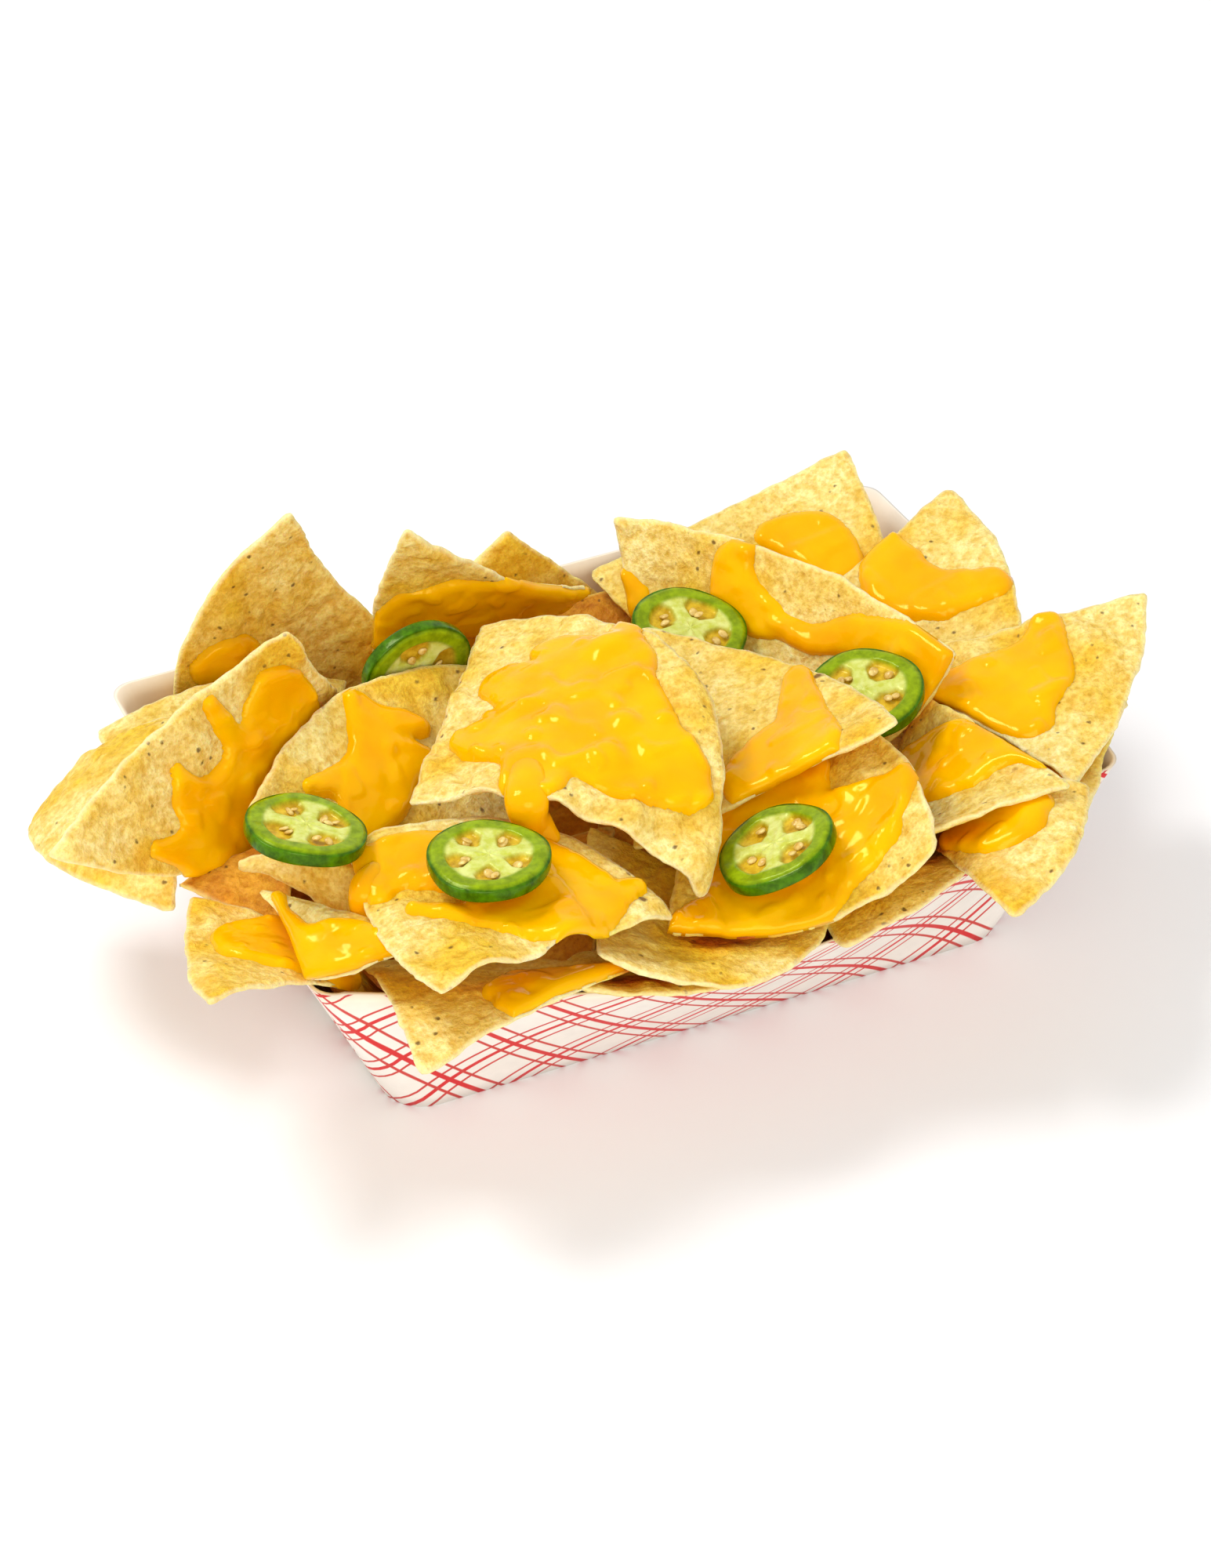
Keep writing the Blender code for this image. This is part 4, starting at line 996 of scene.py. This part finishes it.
class NachosTray(bpy.types.PropertyGroup):
    board: bpy.props.FloatProperty(name="Board", description="Thickness of the board in mm", default=0.7,
                                   min=0.3)
    ground: bpy.props.FloatVectorProperty(name="Board colour", description="Outside of the tray", size=4,
                                          subtype="COLOR", default=linear("#F2ECE2"), min=0.0, max=1.0)
    wide_line: bpy.props.FloatVectorProperty(name="Wide line",
                                             description="Middle line of each group of three",
                                             size=4, subtype="COLOR", default=linear("#D81C20"), min=0.0,
                                             max=1.0)
    thin_line: bpy.props.FloatVectorProperty(name="Thin line",
                                             description="Outer lines of each group of three",
                                             size=4, subtype="COLOR", default=linear("#D03830"), min=0.0,
                                             max=1.0)
    pitch: bpy.props.FloatProperty(name="Check pitch",
                                   description="From one group of lines to the next, in mm "
                                   "along the base", default=23.5, min=5.0)
    spacing: bpy.props.FloatProperty(name="Line spacing",
                                     description="From the wide line to a thin one, in mm "
                                     "along the base", default=4.8, min=1.0)


class NachosChips(bpy.types.PropertyGroup):
    cells: bpy.props.IntProperty(name="Cells", description="Mesh cells along each side of a chip",
                                 default=88, min=20)
    corner: bpy.props.FloatProperty(name="Corner", description="How rounded the corners are, in mm",
                                    default=1.5, min=0.5)
    pale: bpy.props.FloatVectorProperty(name="Pale", description="Blistered parts", size=4, subtype="COLOR",
                                        default=linear("#FBEAA0"), min=0.0, max=1.0)
    gold: bpy.props.FloatVectorProperty(name="Gold", description="Body of the chip", size=4, subtype="COLOR",
                                        default=linear("#F0CA40"), min=0.0, max=1.0)
    toast: bpy.props.FloatVectorProperty(name="Toasted", description="Parts that fried longest", size=4,
                                         subtype="COLOR", default=linear("#E4B828"), min=0.0, max=1.0)


class NachosHeap(bpy.types.PropertyGroup):
    loose: bpy.props.IntProperty(name="Hidden chips",
                                 description="Chips lying in the heap below the top ones",
                                 default=34, min=0)
    seed: bpy.props.IntProperty(name="Seed", description="Chooses how they lie", default=5)


class NachosSauce(bpy.types.PropertyGroup):
    depth: bpy.props.FloatProperty(name="Depth", description="Thickness of the sauce in mm", default=2.0,
                                   min=0.3)
    colour: bpy.props.FloatVectorProperty(name="Sauce", description="Colour of the cheese sauce", size=4,
                                          subtype="COLOR", default=linear("#FFBC00"), min=0.0, max=1.0)


class NachosPeppers(bpy.types.PropertyGroup):
    seeds: bpy.props.IntProperty(name="Seeds", description="Seeds in each slice", default=9, min=0)
    skin: bpy.props.FloatVectorProperty(name="Skin", description="Peel of the pepper", size=4,
                                        subtype="COLOR",
                                        default=linear("#4C7C00"), min=0.0, max=1.0)
    flesh: bpy.props.FloatVectorProperty(name="Flesh", description="Cut wall of the pepper", size=4,
                                         subtype="COLOR", default=linear("#94AC0C"), min=0.0, max=1.0)
    pith: bpy.props.FloatVectorProperty(name="Pith", description="Ribs in the middle", size=4,
                                        subtype="COLOR",
                                        default=linear("#DCE088"), min=0.0, max=1.0)


class NachosStage(bpy.types.PropertyGroup):
    floor: bpy.props.FloatVectorProperty(name="Floor", description="Colour of the floor", size=4,
                                         subtype="COLOR",
                                         default=linear("#F6F6F6"), min=0.0, max=1.0)
    key: bpy.props.FloatProperty(name="Key light", description="Strength of the large light", default=5.5,
                                 unit="POWER", min=0.0)
    sky: bpy.props.FloatProperty(name="Sky", description="Strength of the even light all round",
                                 default=0.75, min=0.0)


# ---------------------------------------------------------------- operators

class NACHOS_OT_tray(bpy.types.Operator):
    """Fold the checked paper tray"""
    bl_idname = "nachos.tray"
    bl_label = "Paper tray"

    def execute(self, context):
        make_tray(context.scene.nachos_tray)
        return {"FINISHED"}


class NACHOS_OT_chips(bpy.types.Operator):
    """Fry the chips that can be seen, one wedge for each"""
    bl_idname = "nachos.chips"
    bl_label = "Tortilla chips"

    def execute(self, context):
        settings = context.scene.nachos_chips
        corn = fried_corn("fried_tortilla", settings.pale, settings.gold, settings.toast)
        around = solid_tree()
        for chip in CHIPS:
            points, faces, edge, facing = chip_solid(chip, settings.cells, settings.corner)
            # Painted shade: how much the neighbours hide each place of the chip, which its material turns gold
            # to red-brown.
            shade = sky_blocked(around, points, facing, faces)
            piece = make_object(chip[0].replace("chip", "tortilla"), points, faces, [corn],
                                {"edge": edge * 0.1, "shade": shade})
            finish_piece(piece, "tortilla_chip", chip[0])
        return {"FINISHED"}


def within_walls(spots, margin):
    """Whether all places, in mm, lie inside the tray by a margin."""
    x, y, z = spots.T
    rise = np.clip(z / RIM_HEIGHT, 0.0, 1.0)
    across = np.clip(np.abs(x) / (BASE_LENGTH / 2.0 + END_FLARE * rise), 0.0, 1.0)
    front = BASE_WIDTH / 2.0 + (FRONT_FLARE + FRONT_BULGE * (1.0 - across ** FRONT_FULLNESS)) * rise
    back = BASE_WIDTH / 2.0 + BACK_FLARE * rise
    end = BASE_LENGTH / 2.0 + END_FLARE * rise
    inside = (np.abs(x) < end - margin) & (y > margin - front) & (y < back - margin) & (z > margin)
    return bool(inside.all())


def hidden_places(tree, count, seed):
    """Places for chips that lie below the top ones: inside the walls, with a chip overhead all round."""
    rng = random.Random(seed)
    probes = np.array([(0, 0, 0), (40, 0, 0), (28, 28, 0), (0, 40, 0), (22, 22, 0)], float) - (14.0, 14.0,
                                                                                               0.0)
    found = []
    for _ in range(4000):
        if len(found) == count:
            break
        turn = Euler((rng.uniform(-0.55, 0.55), rng.uniform(-0.55, 0.55), rng.uniform(0.0, 6.28)))
        middle = np.array((rng.uniform(-85, 85), rng.uniform(-68, 52), rng.uniform(12, 44)))
        spots = probes @ np.array(turn.to_matrix()).T + middle
        if not within_walls(spots, 2.0):
            continue
        roofs = [tree.ray_cast(Vector(spot * MM), Vector((0, 0, 1)), 0.08)[3] for spot in spots]
        if all(roof is not None and roof > 0.0025 for roof in roofs):
            corner = Vector(middle) + turn.to_matrix() @ Vector((-14.0, -14.0, 0.0))
            found.append((corner * MM, turn))
    return found


class NACHOS_OT_heap(bpy.types.Operator):
    """Fill the tray below the top chips with a core and more chips"""
    bl_idname = "nachos.heap"
    bl_label = "Heap"

    def execute(self, context):
        settings = context.scene.nachos_heap
        chips = context.scene.nachos_chips
        # Painted shade: the chips of the heap get a darker, redder copy of the chip material for their place in
        # shade.
        corn = fried_corn("fried_tortilla_below", linear("#E8B450"), linear("#D08C20"), linear("#B06414"))
        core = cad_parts["chip_heap"].copy()
        core.data = core.data.copy()
        core.data.name = core.name = "heap_core"
        bpy.context.scene.collection.objects.link(core)
        shape = bmesh.new()
        shape.from_mesh(core.data)
        bmesh.ops.remove_doubles(shape, verts=shape.verts, dist=1e-6)
        bmesh.ops.subdivide_edges(shape, edges=shape.edges, cuts=5, use_grid_fill=True)
        bmesh.ops.triangulate(shape, faces=shape.faces)
        shape.normal_update()
        spots = np.array([vertex.co for vertex in shape.verts])
        dents = 1.1 * noise(spots, 8.0, 2.0) + 0.5 * noise(spots, 3.5, 5.0) - 1.3
        for vertex, dent, spot in zip(shape.verts, dents, spots):
            if spot[2] > 0.004:
                vertex.co += vertex.normal * (dent * MM)
        shape.to_mesh(core.data)
        shape.free()
        core.data.materials.clear()
        core.data.materials.append(corn)
        core.data.polygons.foreach_set("use_smooth", np.ones(len(core.data.polygons), bool))
        # Painted shade: the whole core is marked as deep in shade.
        for key, level in (("shade", 0.9), ("edge", 1.0)):
            write_values(core.data, key, np.full(len(core.data.vertices), level))
        finish_piece(core, "tortilla_chip", "chip_heap")
        small = ("below", (0, 0, 0), (0, 0, 0), (44, 44), 84, (2, -2, 3), (0, 0, 7), 0.5)
        points, faces, edge, _ = chip_solid(small, LOOSE_CELLS, chips.corner)
        # Painted shade: every hidden chip is marked as fairly deep in shade.
        original = make_object("chip_below", points, faces, [corn],
                               {"edge": edge * 0.1, "shade": edge * 0.0 + 0.8})
        places = hidden_places(solid_tree("chip_heap"), settings.loose, settings.seed)
        mesh = lay_copies("chips_below", places, original, 1.0, 0.12, settings.seed, corn)
        below = new_object("chips_below", mesh)
        finish_piece(below, "tortilla_chip")
        around = solid_tree()
        for chip in TUCKED:
            points, faces, edge, facing = chip_solid(chip, TUCKED_CELLS, chips.corner)
            # Painted shade: the tucked chip is marked as at least half in shade, darker than the chips above.
            shade = 0.5 + 0.5 * sky_blocked(around, points, facing, faces)
            piece = make_object(chip[0], points, faces, [corn], {"edge": edge * 0.1, "shade": shade})
            finish_piece(piece, "tortilla_chip")
        return {"FINISHED"}


class NACHOS_OT_sauce(bpy.types.Operator):
    """Pour the cheese sauce over the chips"""
    bl_idname = "nachos.sauce"
    bl_label = "Cheese sauce"

    def execute(self, context):
        settings = context.scene.nachos_sauce
        cheese = nacho_cheese(settings.colour)
        around = solid_tree()
        by_name = {chip[0]: chip for chip in CHIPS}
        for node, chip_name, runs in CHEESE:
            points, faces, facing = puddle_solid(by_name[chip_name], runs, settings.depth, SAUCE_CELLS)
            # Painted shade: how much the neighbours hide each place of the sauce, read by its material.
            shade = sky_blocked(around, points, facing, faces, start=4.0)
            piece = make_object(node.replace("cheese", "sauce"), points, faces, [cheese], {"shade": shade})
            finish_piece(piece, "cheese_sauce", node)
        for name, run in DRIPS:
            piece = make_object(name, *strand_solid(run), [cheese])
            # Painted shade for the drip, from what stands round it.
            shade_piece(piece, around, start=6.0)
            finish_piece(piece, "cheese_sauce")
        return {"FINISHED"}


class NACHOS_OT_peppers(bpy.types.Operator):
    """Lay the jalapeno slices and their seeds"""
    bl_idname = "nachos.peppers"
    bl_label = "Jalapeno slices"

    def execute(self, context):
        settings = context.scene.nachos_peppers
        pepper = pickled_pepper(settings.skin, settings.flesh, settings.pith)
        seed = pepper_seed()
        rng = random.Random(11)
        places = []
        for node, spot, turn, arms, twist in PEPPERS:
            points, faces, values = slice_solid(spot, turn, arms, twist)
            piece = make_object(node.replace("jalapeno", "slice"), points, faces, [pepper], values)
            finish_piece(piece, "jalapeno", node)
            places += seed_places(spot, turn, arms, twist, settings.seeds, rng)
        bpy.ops.mesh.primitive_uv_sphere_add(segments=10, ring_count=6, radius=1.0)
        grain = bpy.context.object
        for vertex in grain.data.vertices:
            x, y, z = vertex.co
            vertex.co = (1.15 * MM * x, 0.9 * MM * y * (1.0 - 0.18 * x), 0.4 * MM * z)
        mesh = lay_copies("pepper_seeds", [(spot, turned) for spot, turned, _ in places], grain, 1.0, 0.15,
                          4, seed)
        seeds = new_object("pepper_seeds", mesh)
        mesh.polygons.foreach_set("use_smooth", np.ones(len(mesh.polygons), bool))
        finish_piece(seeds, "jalapeno")
        return {"FINISHED"}


class NACHOS_OT_stage(bpy.types.Operator):
    """Set the floor, the lights and the camera"""
    bl_idname = "nachos.stage"
    bl_label = "Stage"

    def execute(self, context):
        settings = context.scene.nachos_stage
        paper, _, _ = new_material("stage_paper", {"Base Color": tuple(settings.floor), "Roughness": 0.9})
        floor = make_object("stage_floor", [(-4, -4, 0), (4, -4, 0), (4, 4, 0), (-4, 4, 0)], [(0, 1, 2, 3)],
                            [paper])
        world = bpy.data.worlds.new("soft_sky")
        world.use_nodes = True
        sky = world.node_tree.nodes["Background"]
        sky.inputs["Color"].default_value = linear("#FFFFFF")
        sky.inputs["Strength"].default_value = settings.sky
        context.scene.world = world
        context.scene.view_settings.view_transform = "Standard"
        for name, spot, size, power in (("key", (-0.45, 0.30, 1.0), 0.35, settings.key),
                                        ("fill", (-0.45, -1.1, 0.70), 0.7, settings.key * 1.2)):
            lamp = bpy.data.lights.new(name, "AREA")
            lamp.energy = power
            lamp.size = size
            held = new_object(name, lamp)
            held.location = spot
            held.rotation_euler = (Vector((0.0, 0.0, 0.04)) - Vector(spot)).to_track_quat("-Z",
                                                                                          "Y").to_euler()
        azimuth, elevation, reach = math.radians(-25.2), math.radians(37.2), 1.276
        back = Vector((math.sin(azimuth) * math.cos(elevation), -math.cos(azimuth) * math.cos(elevation),
                       math.sin(elevation)))
        right = Vector((math.cos(azimuth), math.sin(azimuth), 0.0))
        up = back.cross(right)
        lens = bpy.data.cameras.new("camera")
        lens.lens = 135.0
        camera = new_object("camera", lens)
        turn = Matrix((right, up, back)).transposed()
        camera.matrix_world = Matrix.Translation(right * -0.0013 + up * 0.0235 + back * reach) @ turn.to_4x4()
        context.scene.camera = camera
        return {"FINISHED"}


class NACHOS_PT_panel(bpy.types.Panel):
    bl_label = "Nachos"
    bl_idname = "NACHOS_PT_panel"
    bl_space_type = "VIEW_3D"
    bl_region_type = "UI"
    bl_category = "Nachos"

    def draw(self, context):
        for group, operator in PAIRS:
            box = self.layout.box()
            box.operator(operator.bl_idname)
            settings = getattr(context.scene, group)
            for key in settings.bl_rna.properties.keys():
                if key not in ("rna_type", "name"):
                    box.prop(settings, key)


GROUPS = {"nachos_tray": NachosTray, "nachos_chips": NachosChips, "nachos_heap": NachosHeap,
          "nachos_sauce": NachosSauce, "nachos_peppers": NachosPeppers, "nachos_stage": NachosStage}
PAIRS = (("nachos_tray", NACHOS_OT_tray), ("nachos_chips", NACHOS_OT_chips), ("nachos_heap", NACHOS_OT_heap),
         ("nachos_sauce", NACHOS_OT_sauce), ("nachos_peppers", NACHOS_OT_peppers),
         ("nachos_stage", NACHOS_OT_stage))


def register():
    for group in GROUPS.values():
        bpy.utils.register_class(group)
    for _, operator in PAIRS:
        bpy.utils.register_class(operator)
    bpy.utils.register_class(NACHOS_PT_panel)
    for key, group in GROUPS.items():
        setattr(bpy.types.Scene, key, bpy.props.PointerProperty(type=group))


def unregister():
    for key in GROUPS:
        delattr(bpy.types.Scene, key)
    bpy.utils.unregister_class(NACHOS_PT_panel)
    for _, operator in PAIRS:
        bpy.utils.unregister_class(operator)
    for group in GROUPS.values():
        bpy.utils.unregister_class(group)


def main():
    register()
    bpy.ops.nachos.tray()
    bpy.ops.nachos.chips()
    bpy.ops.nachos.heap()
    bpy.ops.nachos.sauce()
    bpy.ops.nachos.peppers()
    bpy.ops.nachos.stage()


if __name__ == "__main__":
    main()
